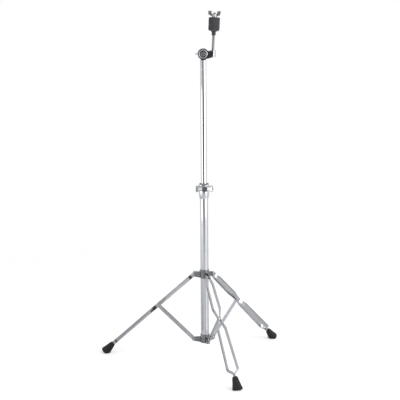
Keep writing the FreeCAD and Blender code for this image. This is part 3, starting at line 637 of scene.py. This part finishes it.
def leg_strip(name, leg, hand):
    """Pressed strip of a leg: flat at its rivets and channelled between them.

    Its line leaves the leg's middle plane by the joggles' offsets, on the side of `hand`.
    """
    along, link = bar_frame(collar_pivot[leg], mid_pivot[leg])
    full = leg_length(leg)
    end = full - STRIP_BEFORE_END - STRIP_WIDTH / 2
    foot_flat = full - FOOT_ABOVE_END - FOOT_FLAT
    above, below = link - FLAT_HALF, link + FLAT_HALF
    knots = [
        -STRIP_WIDTH, FLAT_HALF, FLAT_HALF + JOGGLES[0], above - JOGGLES[1], above, below,
        below + JOGGLES[2], foot_flat - JOGGLES[3], foot_flat, full,
    ]
    offsets = [
        AT_COLLAR, AT_COLLAR, *UPPER_RUN, AT_BRACE, AT_BRACE, *LOWER_RUN, AT_FOOT, AT_FOOT,
    ]
    deep = [0, 0, 1, 1, 0, 0, 1, 1, 0, 0]
    radius = STRIP_WIDTH / 2
    places = stations(end, radius)
    inner = softened(places, knots, offsets)
    press = softened(places, knots, deep)
    depth = STRIP_FLAT + (STRIP_DEPTH - STRIP_FLAT) * press
    ramp = np.clip(GROOVE_RAMP * (press - 1) + 1, 0, 1)
    groove = (STRIP_DEPTH - STRIP_SHEET) * ramp + SKIN
    half = end_width(places, end, radius)
    section = channel(half, inner, inner + depth, np.full_like(groove, SKIN), groove)
    rise = np.cross(side[leg], along)
    grid = collar_pivot[leg] + MM * (
        places[:, None, None] * along
        + section[..., :1] * rise
        + section[..., 1:] * side[leg] * hand
    )
    return surface(name, sheet_chrome, [(grid, False)], crease=50)


def brace_bar(name, leg):
    """Single brace: a flat bar with a shallow channel pressed in both faces."""
    along, length = bar_frame(hub_pivot[leg], mid_pivot[leg])
    radius = BRACE_WIDTH / 2
    places = stations(length, radius)
    flat, deep = FLAT_HALF, FLAT_HALF + BRACE_RAMP
    press = softened(places, [flat, deep, length - deep, length - flat], [0, 1, 1, 0])
    groove = BRACE_RECESS * press + SKIN
    half = end_width(places, length, radius)
    thick = np.full(len(places), BRACE_DEPTH / 2)
    section = channel(half, -thick, thick, groove, groove)
    rise = np.cross(side[leg], along)
    grid = hub_pivot[leg] + MM * (
        places[:, None, None] * along + section[..., :1] * rise + section[..., 1:] * side[leg]
    )
    return surface(name, sheet_chrome, [(grid, False)], crease=50)


def rivet_grid(node, origin, axis):
    """Rivet through a joint: a domed head with a thin flange at each end of its shank."""
    low, high, head = reach(node, origin, axis)
    half = []
    for face, tip in ((high - RIVET_CAP, 1), (-(low + RIVET_CAP), -1)):
        rim = face + RIVET_FLANGE
        edge = rounded([(RIVET_SHANK, face - RIVET_SUNK), (RIVET_SHANK, face), (head, face),
                        (head, rim)], [0, 0.1, 0.15, 0], steps=3, closed=False)
        dome = np.array(domed(head - RIVET_INSET, RIVET_CAP - RIVET_FLANGE, rim, 9))
        half.append(np.concatenate([edge, dome]) * (1, tip))
    profile = np.concatenate([half[1][::-1], half[0]])
    return turned(profile, origin, axis, 40), False


# Rubber foot, outline from its upper end: (radius, distance along the foot's own axis)
FOOT_NECK = 4.5
FOOT_LEAN = 6.0
FOOT_CONE = 34.0
FOOT_WIDE = 15.9
FOOT_DOME = 4.5
FOOT_HOLLOW = 0.35
FOOT_PRESSED = 1.6
FOOT_SETTLE = 0.6
FOOT_TURN_IN = (4.0, 1.9)
FOOT_ROUND = [0, 0.4, 0.8, 0.5, 0.9, 1.8, 0]
FOOT_STEPS = 6
FOOT_OUTLINE = [
    (6.4, 1.0), (6.4, 0.0), (7.9, 0.0), (7.9, FOOT_NECK), (9.1, FOOT_NECK + 0.1),
    (FOOT_WIDE, FOOT_NECK + FOOT_CONE),
]


def foot_profile():
    """Neck, shoulder, a faintly hollow cone and a domed end, a parabola."""
    end = FOOT_NECK + FOOT_CONE
    inner = (FOOT_WIDE - FOOT_TURN_IN[0], end + FOOT_TURN_IN[1])
    shape = rounded([*FOOT_OUTLINE, inner], FOOT_ROUND, FOOT_STEPS, closed=False)
    rows = 1 + 4 * FOOT_STEPS  # the first point and the four corners down to the shoulder
    shoulder, rim = shape[:rows], shape[rows + 1:]
    t = np.linspace(0, 1, 26)[1:-1, None]
    hollow = np.array([FOOT_HOLLOW, 0]) * np.sin(math.pi * t)
    cone = shoulder[-1] * (1 - t) + rim[0] * t - hollow
    radius = rim[-1, 0] * np.linspace(1, 0, 18)[1:]
    rise = end + FOOT_DOME * (1 - (radius / FOOT_WIDE) ** 2)
    return np.concatenate([shoulder, cone, rim, np.stack([radius, rise], 1)])


def rubber_foot(name, leg):
    """Foot turned about its leaning axis, pressed flat where it stands on the floor.

    A height z becomes (z + sqrt(z squared + k squared)) / 2, which rounds the pressed rim,
    and then loses the share exp(-z / FOOT_SETTLE), which sets it on the floor.
    """
    along, _ = bar_frame(collar_pivot[leg], mid_pivot[leg])
    top = collar_pivot[leg] + along * (leg_length(leg) - FOOT_ABOVE_END + FOOT_NECK) * MM
    inward = np.cross(along, side[leg])
    inward *= -np.sign(inward[2])
    lean = math.radians(FOOT_LEAN)
    axis = along * math.cos(lean) + inward * math.sin(lean)
    grid = turned(foot_profile(), top - axis * FOOT_NECK * MM, axis, 96)
    height = grid[..., 2]
    grid[..., 2] = (height + np.sqrt(height ** 2 + (FOOT_PRESSED * MM) ** 2)) / 2
    grid[..., 2] *= 1 - np.exp(-grid[..., 2] / (FOOT_SETTLE * MM))
    return surface(name, rubber, [(grid, False)], crease=60)


for leg in LEGS:
    body = f"leg_{leg}"
    for letter, hand in (("a", 1), ("b", -1)):
        node = f"leg_{leg}_strip_{letter}"
        fit(leg_strip(f"{leg}_leg_strip_{letter}", leg, hand), body, "pressed_chrome", node)
    fit(brace_bar(f"{leg}_brace_bar", leg), f"brace_{leg}", "pressed_chrome", f"brace_{leg}")
    fit(rubber_foot(f"{leg}_rubber_foot", leg), body, "black_rubber", f"leg_{leg}_foot")
    for kind, place in (("brace", mid_pivot[leg]), ("foot", middle(f"leg_{leg}_foot_rivet"))):
        node = f"leg_{leg}_{kind}_rivet"
        grid = rivet_grid(node, place, side[leg])
        fit(surface(f"{leg}_{kind}_rivet", nickel, [grid]), body, "steel_rivets", node)

pins = [rivet_grid("brace_pins", hub_pivot[n], side[n]) for n in LEGS]
fit(surface("hub_pivot_rivets", nickel, pins), "base", "steel_rivets", "brace_pins")
pins = [rivet_grid("leg_pins", collar_pivot[n], side[n]) for n in LEGS]
fit(surface("collar_pivot_rivets", nickel, pins), "collar", "steel_rivets", "leg_pins")

# ---- Hubs, clamp and their bolts ----

# The hubs' darkened chrome is painted shade.
dressed("foot_hub", shade_darkened_hub_chrome, "lower_hub", "base", "pressed_chrome", 0.6, 3)
dressed("sliding_collar", shade_darkened_hub_chrome, "leg_collar", "collar", "pressed_chrome", 0.6, 3)
dressed("height_clamp", chrome, "tube_clamp", "base", "pressed_chrome", 0.5, 3)
dressed("clamp_bush", nylon, "clamp_bushing", "base", "black_plastic", 0.3)
dressed("tube_end_plug", nylon, "base_tube_plug", "base", "black_plastic", 0.3)
dressed("hub_rivets", nickel, "lower_hub_rivets", "base", "steel_rivets", 0.2)
dressed("sliding_guide", nylon, "tube_glide", "glide", "black_plastic", 0.3)
dressed("collar_pressure_pad", brass, "collar_shoe", "collar_shoe", "brass_shoe", 0.2)
dressed("clamp_pressure_pad", brass, "clamp_shoe", "clamp_shoe", "brass_shoe", 0.2)

# Butterfly wing, from the screw's axis outwards and up from the seat: (span, rise)
WING = [
    (0.20, 0.10), (0.45, 0.12), (0.90, 0.30), (0.99, 0.52), (1.0, 0.93), (0.93, 1.0),
    (0.46, 1.0), (0.38, 0.93), (0.34, 0.56), (0.20, 0.42),
]
WING_ROUND = [1, 3, 3, 4, 2, 2, 2, 3, 3, 1]
WING_CENTRE = (0.70, 0.60)
NEARLY_UPRIGHT = 0.5
CUSHION = [(0.0, 1.0), (0.5, 1.0), (0.72, 0.98), (0.86, 0.86), (0.94, 0.64), (0.985, 0.34),
           (1.0, 0.0)]


def boss_profile(radius, length, bore):
    """Waisted boss of a wing head: a flange at its seat and a rounded shoulder."""
    return rounded([
        (bore, 0), (radius + 1.2, 0), (radius + 1.2, 1.6), (radius - 0.1, 3.2),
        (radius - 0.9, length - 0.5), (radius - 1.8, length), (bore, length),
    ], [0.3, 0.5, 0.6, 1.2, 1.5, 0.6, 0.5], steps=5)


def butterfly(name, origin, axis, span, half_span, height, radius, length, bore, thick=1.8):
    """Cast wing head: a waisted boss with two cushion-shaped wings that swell outwards."""
    normal = np.cross(axis, span)
    grids = [(turned(boss_profile(radius, length, bore), origin, axis, 72), True)]
    outline = rounded(np.array(WING) * (half_span, height), WING_ROUND, steps=7)
    centre = np.array(WING_CENTRE) * (half_span, height)
    profile = [(share, half * thick) for share, half in CUSHION]
    for hand in (1, -1):
        wing = plate(outline, centre, profile, origin, span * hand, axis, normal)
        grids.append((wing, False))
    return surface(name, wing_cast, grids, crease=50)


def screw_head(joint):
    """Axis of a wing head and the level direction of its wings."""
    axis = joint_axis(joint)
    span = np.cross(UP, axis)
    if np.linalg.norm(span) < NEARLY_UPRIGHT:
        span = np.array([1.0, 0, 0]) - axis[0] * axis
    return axis, span / np.linalg.norm(span)


def head_seat(node, joint, height):
    """Point on a bolt's axis where its head begins: the far end less the head's height."""
    axis, origin = joint_axis(joint), joint_place(joint)
    tip = ((node_points(node) - origin) @ axis).max() / MM
    return origin + axis * (tip - height) * MM


def stud(name, node, body, seat, axis):
    """Threaded stud of a wing bolt, from its tip to just inside the head."""
    low = reach(node, seat, axis, STUD_SEARCH)[0]
    grid = thread(STUD, low, STUD_INSIDE, seat, axis)
    return fit(surface(name, zinc, [(grid, False)]), body, "zinc_fasteners")


WING_HALF_SPAN = 24.8
WING_HEIGHT = 18.5
WING_BOSS = (6.5, 13.0)
CLOSED_BORE = 0.4
NUT_BORE = 4.05
STUD = 4.0
STUD_INSIDE = 2.0
STUD_SEARCH = 40.0

axis, level = screw_head("collar_bolt_turn")
seat = head_seat("collar_wing_bolt", "collar_bolt_turn", WING_HEIGHT)
bolt = butterfly("collar_wing_bolt_head", seat, axis, level, WING_HALF_SPAN, WING_HEIGHT,
                 *WING_BOSS, CLOSED_BORE)
fit(bolt, "collar_bolt", "cast_chrome", "collar_wing_bolt")
stud("collar_bolt_stud", "collar_wing_bolt", "collar_bolt", seat, axis)

# T handle of the height clamp: wings with a raised rim round a recessed panel
HANDLE_WING = [
    (2.0, 9.2), (26.5, 10.25), (29.1, 8.2), (29.5, 0.0), (29.2, -7.8), (26.6, -10.25),
    (22.8, -10.25), (19.8, -7.6), (13.5, -5.4), (2.0, -6.4),
]
HANDLE_ROUND = [1, 2.5, 2, 6, 3, 2, 2, 3, 4, 1]
HANDLE_CENTRE = (16.5, 1.2)
HANDLE_RIM = [(0.0, 1.5), (0.62, 1.5), (0.68, 1.6), (0.74, 2.2), (0.79, 2.65), (0.86, 2.75),
              (0.93, 2.5), (0.98, 1.7), (1.0, 0.0)]
HANDLE_STANDS = 5.75
HANDLE_HEIGHT = 11.5
HANDLE_SWEEP = 24.0
HANDLE_BLOCK = (8.6, 7.6)
BLOCK_POWER = 0.28  # 1 would be a circle and 0 a sharp square
BLOCK_SIDE = [(0.0, 0.0), (0.86, 0.0), (1.0, 1.2), (1.0, 10.4), (0.97, 11.1), (0.90, 11.5),
              (0.87, 11.5), (0.6, 11.5), (0.0, 11.5)]


def block(origin, axis, span, half_wide, half_tall):
    """Square block with rounded corners: its side profile carried round a soft square.

    The square is a superellipse: cosine and sine raised to a low power, with their signs.
    """
    profile = np.array(BLOCK_SIDE)
    angle = np.linspace(0, 2 * math.pi, 96, endpoint=False)
    wide = np.sign(np.cos(angle)) * np.abs(np.cos(angle)) ** BLOCK_POWER
    tall = np.sign(np.sin(angle)) * np.abs(np.sin(angle)) ** BLOCK_POWER
    rise = np.cross(axis, span)
    ring = half_wide * wide[:, None] * span + half_tall * tall[:, None] * rise
    return origin + MM * (profile[:, 0, None, None] * ring + profile[:, 1, None, None] * axis)


def t_handle(name, seat, axis, level):
    """Cast T handle: a square block and two rimmed wings, hooked at their ends, swept back."""
    grids = [(block(seat, axis, level, *HANDLE_BLOCK), False)]
    outline = rounded(HANDLE_WING, HANDLE_ROUND, steps=7)
    plane = seat + axis * HANDLE_STANDS * MM
    sweep = math.radians(HANDLE_SWEEP)
    for hand in (1, -1):
        span = level * hand * math.cos(sweep) - axis * math.sin(sweep)
        normal = axis * math.cos(sweep) + level * hand * math.sin(sweep)
        wing = plate(outline, np.array(HANDLE_CENTRE), HANDLE_RIM, plane, span, UP, normal)
        grids.append((wing, False))
    return surface(name, die_cast, grids, crease=50)


axis, level = screw_head("clamp_bolt_turn")
seat = head_seat("clamp_wing_bolt", "clamp_bolt_turn", HANDLE_HEIGHT)
handle = t_handle("clamp_t_handle", seat, axis, level)
fit(handle, "clamp_bolt", "cast_chrome", "clamp_wing_bolt")
stud("clamp_bolt_stud", "clamp_wing_bolt", "clamp_bolt", seat, axis)

# ---- Tilter ----

BEAD_RADIUS = 11.7
BEAD_HALF = 2.2
BEAD_ABOVE_RING = 0.9
BEAD_SUNK = 2.0


def face_bead(name):
    """Raised ring on the tilter's face: half an ellipse turned about the tilter's axis."""
    place, front = joint_place("tilter_turn"), joint_axis("tilter_turn")
    front = front * -np.sign(front[1])
    offset = (node_points("tilter_arm") - place) / MM
    ahead = offset @ front
    out = np.linalg.norm(offset - ahead[:, None] * front, axis=1)
    face = ahead[out < BEAD_RADIUS + BEAD_HALF].max()
    t = np.linspace(0, math.pi, 15)
    height = face - BEAD_SUNK + (BEAD_SUNK + BEAD_ABOVE_RING) * np.sin(t)
    profile = np.stack([BEAD_RADIUS + BEAD_HALF * np.cos(t), height], 1)
    # The ring's lighter chrome is a painted highlight.
    return surface(name, highlight_brightened_cast, [(turned(profile, place, front, 120), True)])


dressed("tilter_rear_casting", die_cast, "tilter_base", "upper_tube", "cast_chrome", 0.35)
dressed("tilter_front_casting", die_cast, "tilter_arm", "tilter_arm", "cast_chrome", 0.4, 3)
dressed("tilter_hex_bolt", zinc, "tilter_bolt", "tilter_arm", "zinc_fasteners", 0.25)
fit(face_bead("tilter_face_bead"), "tilter_arm", "cast_chrome")
dressed("tilter_spring_washers", spring, "tilter_springs", "upper_tube", "spring_steel", 0.1)
dressed("tilter_nut_washer", zinc, "tilter_washer", "tilter_washer", "zinc_fasteners", 0.25)
nut_axis, nut_level = screw_head("tilter_nut_turn")
nut = butterfly("tilter_butterfly_nut", joint_place("tilter_nut_turn"), nut_axis, nut_level,
                WING_HALF_SPAN, WING_HEIGHT, *WING_BOSS, NUT_BORE)
fit(nut, "tilter_nut", "cast_chrome", "tilter_wing_nut")

# ---- Cymbal seat ----

ROD_RADIUS = 4.0
ROD_FIT = 0.02
THREAD_BELOW_NUT = 30.0
THREAD_OVER_SHANK = 0.5
ROD_END_CUT = 4.0

rod_axis = joint_axis("cymbal_nut_turn")
nut_seat = joint_place("cymbal_nut_turn")


def rod_reach(node):
    """Lowest and highest point of a node along the rod, in mm from the wing nut's seat."""
    along = (node_points(node) - nut_seat) @ rod_axis / MM
    return along.min(), along.max()


def on_rod(name, material, profile):
    """Ring turned about the rod: (radius, height above the wing nut's seat)."""
    return surface(name, material, [(turned(profile, nut_seat, rod_axis), True)])


rod_low, rod_high = rod_reach("cymbal_rod")
rod_high -= ROD_END_CUT
shank = rounded([(0.0, rod_low), (ROD_RADIUS, rod_low), (ROD_RADIUS, -THREAD_BELOW_NUT),
                 (0.0, -THREAD_BELOW_NUT)], [0, 0.4, 0.4, 0], closed=False)
thread_low = -THREAD_BELOW_NUT - THREAD_OVER_SHANK
rod = surface("threaded_rod", thread_zinc, [
    (turned(shank, nut_seat, rod_axis, 64), False),
    (thread(ROD_RADIUS, thread_low, rod_high, nut_seat, rod_axis), False),
])
fit(rod, "tilter_arm", "chrome_rod", "cymbal_rod")

SLEEVE_RADIUS = 6.2
SLEEVE_NECK = 5.6  # inside the cup washer and the felts
SLEEVE_CHAMFER = (0.5, 1.2)
SLEEVE_FLANGE = (8.6, 2.0)

sleeve_low, sleeve_high = rod_reach("rod_sleeve")
cup_low, cup_high = rod_reach("cup_washer")
flange, flange_low = SLEEVE_FLANGE[0], cup_low - SLEEVE_FLANGE[1]
sleeve = rounded([
    (ROD_RADIUS + ROD_FIT, sleeve_low), (SLEEVE_RADIUS - SLEEVE_CHAMFER[0], sleeve_low),
    (SLEEVE_RADIUS, sleeve_low + SLEEVE_CHAMFER[1]), (SLEEVE_RADIUS, flange_low),
    (flange, flange_low), (flange, cup_low), (SLEEVE_NECK, cup_low),
    (SLEEVE_NECK, sleeve_high), (ROD_RADIUS + ROD_FIT, sleeve_high),
], [0.2, 0.4, 0.4, 0.5, 0.4, 0.4, 0.1, 0.3, 0.2])
fit(on_rod("nylon_sleeve", nylon, sleeve), "tilter_arm", "black_plastic", "rod_sleeve")

CUP_SHEET = 1.2
CUP_RADIUS = 13.5
CUP_FLAT = 9.5
CUP_BORE = 5.65
WASHER_ROUND = 0.35
SPACER = (5.85, 13.4)
NUT_WASHER = (4.06, 8.9)

cup = rounded([
    (CUP_BORE, cup_low), (CUP_FLAT, cup_low), (CUP_RADIUS, cup_high - CUP_SHEET),
    (CUP_RADIUS, cup_high), (CUP_FLAT, cup_low + CUP_SHEET), (CUP_BORE, cup_low + CUP_SHEET),
], [0.2, 1.5, 0.4, 0.4, 1.5, 0.2])
fit(on_rod("dished_cup_washer", zinc, cup), "tilter_arm", "zinc_fasteners", "cup_washer")


def flat_washer(name, node, inner, outer):
    """Washer as thick as its CAD node, with rounded edges."""
    low, high = rod_reach(node)
    corners = [(inner, low), (outer, low), (outer, high), (inner, high)]
    return on_rod(name, zinc, rounded(corners, WASHER_ROUND))


fit(flat_washer("felt_spacer_washer", "mid_washer", *SPACER), "tilter_arm",
    "zinc_fasteners", "mid_washer")
fit(flat_washer("wing_nut_washer", "nut_washer", *NUT_WASHER), "nut_washer",
    "zinc_fasteners", "nut_washer")

FELT_RADIUS = 17.4
FELT_WALL = 17.3
FELT_BORE = 5.85
FELT_LUMP = 0.22
FELT_WAVES = 14
FELT_TURNS = (2, 30)  # waves round the disc
FELT_RATE = (0.1, 1.3)  # radians of each wave's twist per mm of height
FELT_SWELL = 6.0  # about the waves' largest sum
FELT_FADE = (1.0, 6.0)  # mm: where from the bore the lumps begin, and how far they grow
FELT_ROWS, FELT_COLUMNS = 160, 180
FELT_OVER_WASHER = 0.72
WASHER_REACH = 13.8
WASHER_SLOPE = 0.6


def felt_grid(low, high, rims, overlap, seed):
    """Felt disc: a thick ring whose wall is faintly lumpy, rounded at each rim.

    The lumps are a sum of sines of angle and height that mostly lower the wall, and that
    fade towards the bore. Where a disc meets its neighbour it grows past the washer.
    """
    below, above = overlap
    outline = [(FELT_BORE, high), (FELT_BORE, low)]
    radii = [0.6, 0.6]
    if below:
        outline += [(WASHER_REACH, low), (WASHER_REACH + WASHER_SLOPE, low - below)]
        radii += [0.3, 0.3]
    outline += [(FELT_WALL, low - below), (FELT_WALL, high + above)]
    radii += rims
    if above:
        outline += [(WASHER_REACH + WASHER_SLOPE, high + above), (WASHER_REACH, high)]
        radii += [0.3, 0.3]
    profile = even_loop(rounded(outline, radii, steps=12), FELT_ROWS)
    grid = turned(profile, nut_seat, rod_axis, FELT_COLUMNS)
    centre = nut_seat + MM * profile[:, 1, None, None] * rod_axis
    angle, _ = ring_of(rod_axis, FELT_COLUMNS)
    lumps = np.random.default_rng(seed)
    wave = np.zeros(grid.shape[:2])
    for _ in range(FELT_WAVES):
        turns, rate = lumps.integers(*FELT_TURNS), lumps.uniform(*FELT_RATE)
        start, share = lumps.uniform(0, 2 * math.pi), lumps.uniform(0.3, 1)
        wave += share * np.sin(turns * angle + rate * profile[:, 1:] + start)
    begin, grow = FELT_FADE
    outer = np.clip((profile[:, 0] - FELT_BORE - begin) / grow, 0, 1)[:, None, None]
    change = 1 + outer * FELT_LUMP * (wave[..., None] / FELT_SWELL - 1) / FELT_RADIUS
    return centre + (grid - centre) * change


def felt_pad(name, node, rims, overlap, seed):
    """Pressed felt disc in the place of its CAD node."""
    low, high = rod_reach(node)
    pad = surface(name, felt, [(felt_grid(low, high, rims, overlap, seed), True)], crease=80)
    return pad


fit(felt_pad("lower_felt_pad", "lower_felt", (6.5, 0.7), (0, FELT_OVER_WASHER), 3),
    "tilter_arm", "black_felt", "lower_felt")
fit(felt_pad("upper_felt_pad", "upper_felt", (0.7, 3.2), (FELT_OVER_WASHER, 0), 5),
    "tilter_arm", "black_felt", "upper_felt")

CYMBAL_NUT = dict(half_span=20.2, height=18.5, radius=6.6, length=9.0, bore=NUT_BORE)

_, rod_level = screw_head("cymbal_nut_turn")
nut = butterfly("cymbal_butterfly_nut", nut_seat, rod_axis, rod_level, **CYMBAL_NUT)
fit(nut, "cymbal_nut", "cast_chrome", "cymbal_wing_nut")

# ---- Camera, light and floor ----

CAMERA_BACK = 3.415
CAMERA_ASIDE = 0.0126
CAMERA_HEIGHT = 1.025
CAMERA_PITCH = 8.59
CAMERA_ROLL = -0.42
CAMERA_LENS = 100.26
SENSOR_WIDTH = 36
VIEW_DISTANCE = 200

camera_data = bpy.data.cameras.new("studio_camera")
camera_data.sensor_width = SENSOR_WIDTH
camera_data.lens = CAMERA_LENS
camera_data.clip_end = VIEW_DISTANCE
camera = bpy.data.objects.new("studio_camera", camera_data)
camera.matrix_world = (
    Matrix.Translation((tube_axis[0] - CAMERA_ASIDE, tube_axis[1] - CAMERA_BACK, CAMERA_HEIGHT))
    @ Matrix.Rotation(math.radians(90 - CAMERA_PITCH), 4, "X")
    @ Matrix.Rotation(math.radians(CAMERA_ROLL), 4, "Z")
)
bpy.context.scene.collection.objects.link(camera)
bpy.context.scene.camera = camera


LAMP_DISTANCE = 2.6
LAMP_AIM = 0.6


def softbox(name, azimuth, height, width, tall, radiance):
    """Area lamp turned to the stand; its power gives the wanted radiance over its face."""
    lamp = bpy.data.lights.new(name, "AREA")
    lamp.shape = "RECTANGLE"
    lamp.size = width
    lamp.size_y = tall
    lamp.energy = radiance * width * tall * math.pi
    thing = bpy.data.objects.new(name, lamp)
    angle = math.radians(azimuth)
    place = Vector((tube_axis[0] + LAMP_DISTANCE * math.sin(angle),
                    tube_axis[1] - LAMP_DISTANCE * math.cos(angle), height))
    aim = Vector((tube_axis[0], tube_axis[1], min(height, LAMP_AIM))) - place
    thing.matrix_world = (
        Matrix.Translation(place) @ aim.to_track_quat("-Z", "Y").to_matrix().to_4x4()
    )
    thing.visible_camera = False
    bpy.context.scene.collection.objects.link(thing)


softbox("softbox_right", 52, 1.0, 2.7, 2.1, 2.6)
softbox("softbox_left", -62, 0.36, 2.0, 0.72, 1.4)
softbox("overhead_softbox", 10, 3.0, 2.4, 1.6, 1.2)


def seen_directly(tree):
    """1 for camera, glossy and transmission rays, which show the white surroundings."""
    path = add(tree, "ShaderNodeLightPath").outputs
    seen = path["Is Camera Ray"]
    for ray in ("Is Glossy Ray", "Is Transmission Ray"):
        either = add(tree, "ShaderNodeMath", {0: seen, 1: path[ray]}, operation="MAXIMUM")
        seen = either.outputs[0]
    return seen


WORLD_FILL = 0.72

world = bpy.data.worlds.new("white_studio")
world.use_nodes = True
bpy.context.scene.world = world
tree = world.node_tree
tree.nodes.clear()
strength = ranged(tree, seen_directly(tree), WORLD_FILL, 1.0, 0.0, 1.0)
back = add(tree, "ShaderNodeBackground", {"Color": (1, 1, 1, 1), "Strength": strength})
add(tree, "ShaderNodeOutputWorld", {"Surface": back.outputs[0]})

FLOOR_HALF = 30.0
FLOOR_GLOW = 0.34
FLOOR_REFLECTED = 0.10
FLOOR_NEAR = 1.0
FLOOR_FAR = 2.2


def floor_material():
    """Seamless white paper: matt, lit by the lamps, and white where it runs out of sight."""
    material, tree, place = new_material("white_paper_floor")
    distance = add(tree, "ShaderNodeVectorMath", {0: place}, operation="LENGTH")
    far = ranged(tree, distance.outputs["Value"], 0.0, 1.0, FLOOR_NEAR, FLOOR_FAR)
    seen = seen_directly(tree)
    fibre = add(tree, "ShaderNodeTexNoise", {"Vector": place, "Scale": per(3.0), "Detail": 4.0})
    paper = add(tree, "ShaderNodeBsdfDiffuse", {
        "Color": colour_mix(tree, fibre.outputs["Fac"], "E6E6E6", "EAEAEA"),
    })
    direct = add(tree, "ShaderNodeLightPath").outputs["Is Camera Ray"]
    reflected = ranged(tree, seen, 0.0, FLOOR_REFLECTED, 0.0, 1.0)
    near_glow = add(tree, "ShaderNodeMath", {
        0: direct, 1: FLOOR_GLOW - FLOOR_REFLECTED, 2: reflected,
    }, operation="MULTIPLY_ADD").outputs[0]
    glow = add(tree, "ShaderNodeEmission", {"Strength": near_glow})
    near = add(tree, "ShaderNodeAddShader", {0: paper.outputs[0], 1: glow.outputs[0]})
    edge = add(tree, "ShaderNodeEmission", {"Strength": seen})
    hidden = add(tree, "ShaderNodeMath", {0: far, 1: seen}, operation="MULTIPLY")
    whole = add(tree, "ShaderNodeMixShader", {
        0: hidden.outputs[0], 1: near.outputs[0], 2: edge.outputs[0],
    })
    finish_material(tree, whole)
    return material


def flat_sheet(name, material, points):
    """Sheet of the studio over a grid of points."""
    mesh = bpy.data.meshes.new(name)
    rows, columns = points.shape[:2]
    index = np.arange(rows * columns).reshape(rows, columns)
    quads = np.stack([index[:-1, :-1], index[:-1, 1:], index[1:, 1:], index[1:, :-1]], -1)
    mesh.from_pydata(points.reshape(-1, 3).tolist(), [], quads.reshape(-1, 4).tolist())
    mesh.materials.append(material)
    thing = bpy.data.objects.new(name, mesh)
    bpy.context.scene.collection.objects.link(thing)
    return thing


corner = np.array([-FLOOR_HALF, FLOOR_HALF])
floor_x, floor_y = np.meshgrid(corner, corner)
flat_sheet("studio_floor", floor_material(), np.stack([floor_x, floor_y, 0 * floor_x], -1))


LYING = 0.004
CARD_COLUMNS = 24
FRONT_PATH = [*((d, LYING) for d in (0.5, 1.4, 2.2, 3.8)), (4.0, 0.3), (4.0, 5.0)]
SIDE_PATH = [(d, LYING) for d in (0.35, 0.9, 1.5, 3.4)]


def card_material(name, dark, pale, start, stop):
    """Card whose tone goes from pale near the stand to dark, between two distances."""
    material, tree, place = new_material(name)
    distance = add(tree, "ShaderNodeVectorMath", {0: place}, operation="LENGTH")
    tone = ranged(tree, distance.outputs["Value"], pale, dark, start, stop)
    finish_material(tree, add(tree, "ShaderNodeEmission", {"Strength": tone}))
    return material


def card(name, material, azimuths, path):
    """Sheet swept round the stand: a path of (distance, height) between two azimuths.

    Only reflections see it.
    """
    angle = np.radians(np.linspace(*azimuths, CARD_COLUMNS))
    path = np.array(path)
    points = np.stack([
        tube_axis[0] + path[:, :1] * np.sin(angle),
        tube_axis[1] - path[:, :1] * np.cos(angle),
        np.broadcast_to(path[:, 1:], (len(path), len(angle))),
    ], -1)
    thing = flat_sheet(name, material, points)
    for kind in ("camera", "diffuse", "shadow", "transmission", "volume_scatter"):
        setattr(thing, f"visible_{kind}", False)
    return thing


front_card = card_material("black_card_front", 0.08, 0.90, 1.2, 4.0)
card("front_card", front_card, (-26, 21), FRONT_PATH)
right_card = card_material("white_card_right", 1.6, 1.3, 0.9, 2.4)
card("right_card", right_card, (36, 74), SIDE_PATH)
left_card = card_material("pale_card_left", 1.35, 0.60, 0.4, 2.2)
card("left_card", left_card, (-88, -37), SIDE_PATH)

# ---- Close ----

bpy.context.scene.view_settings.view_transform = "Standard"
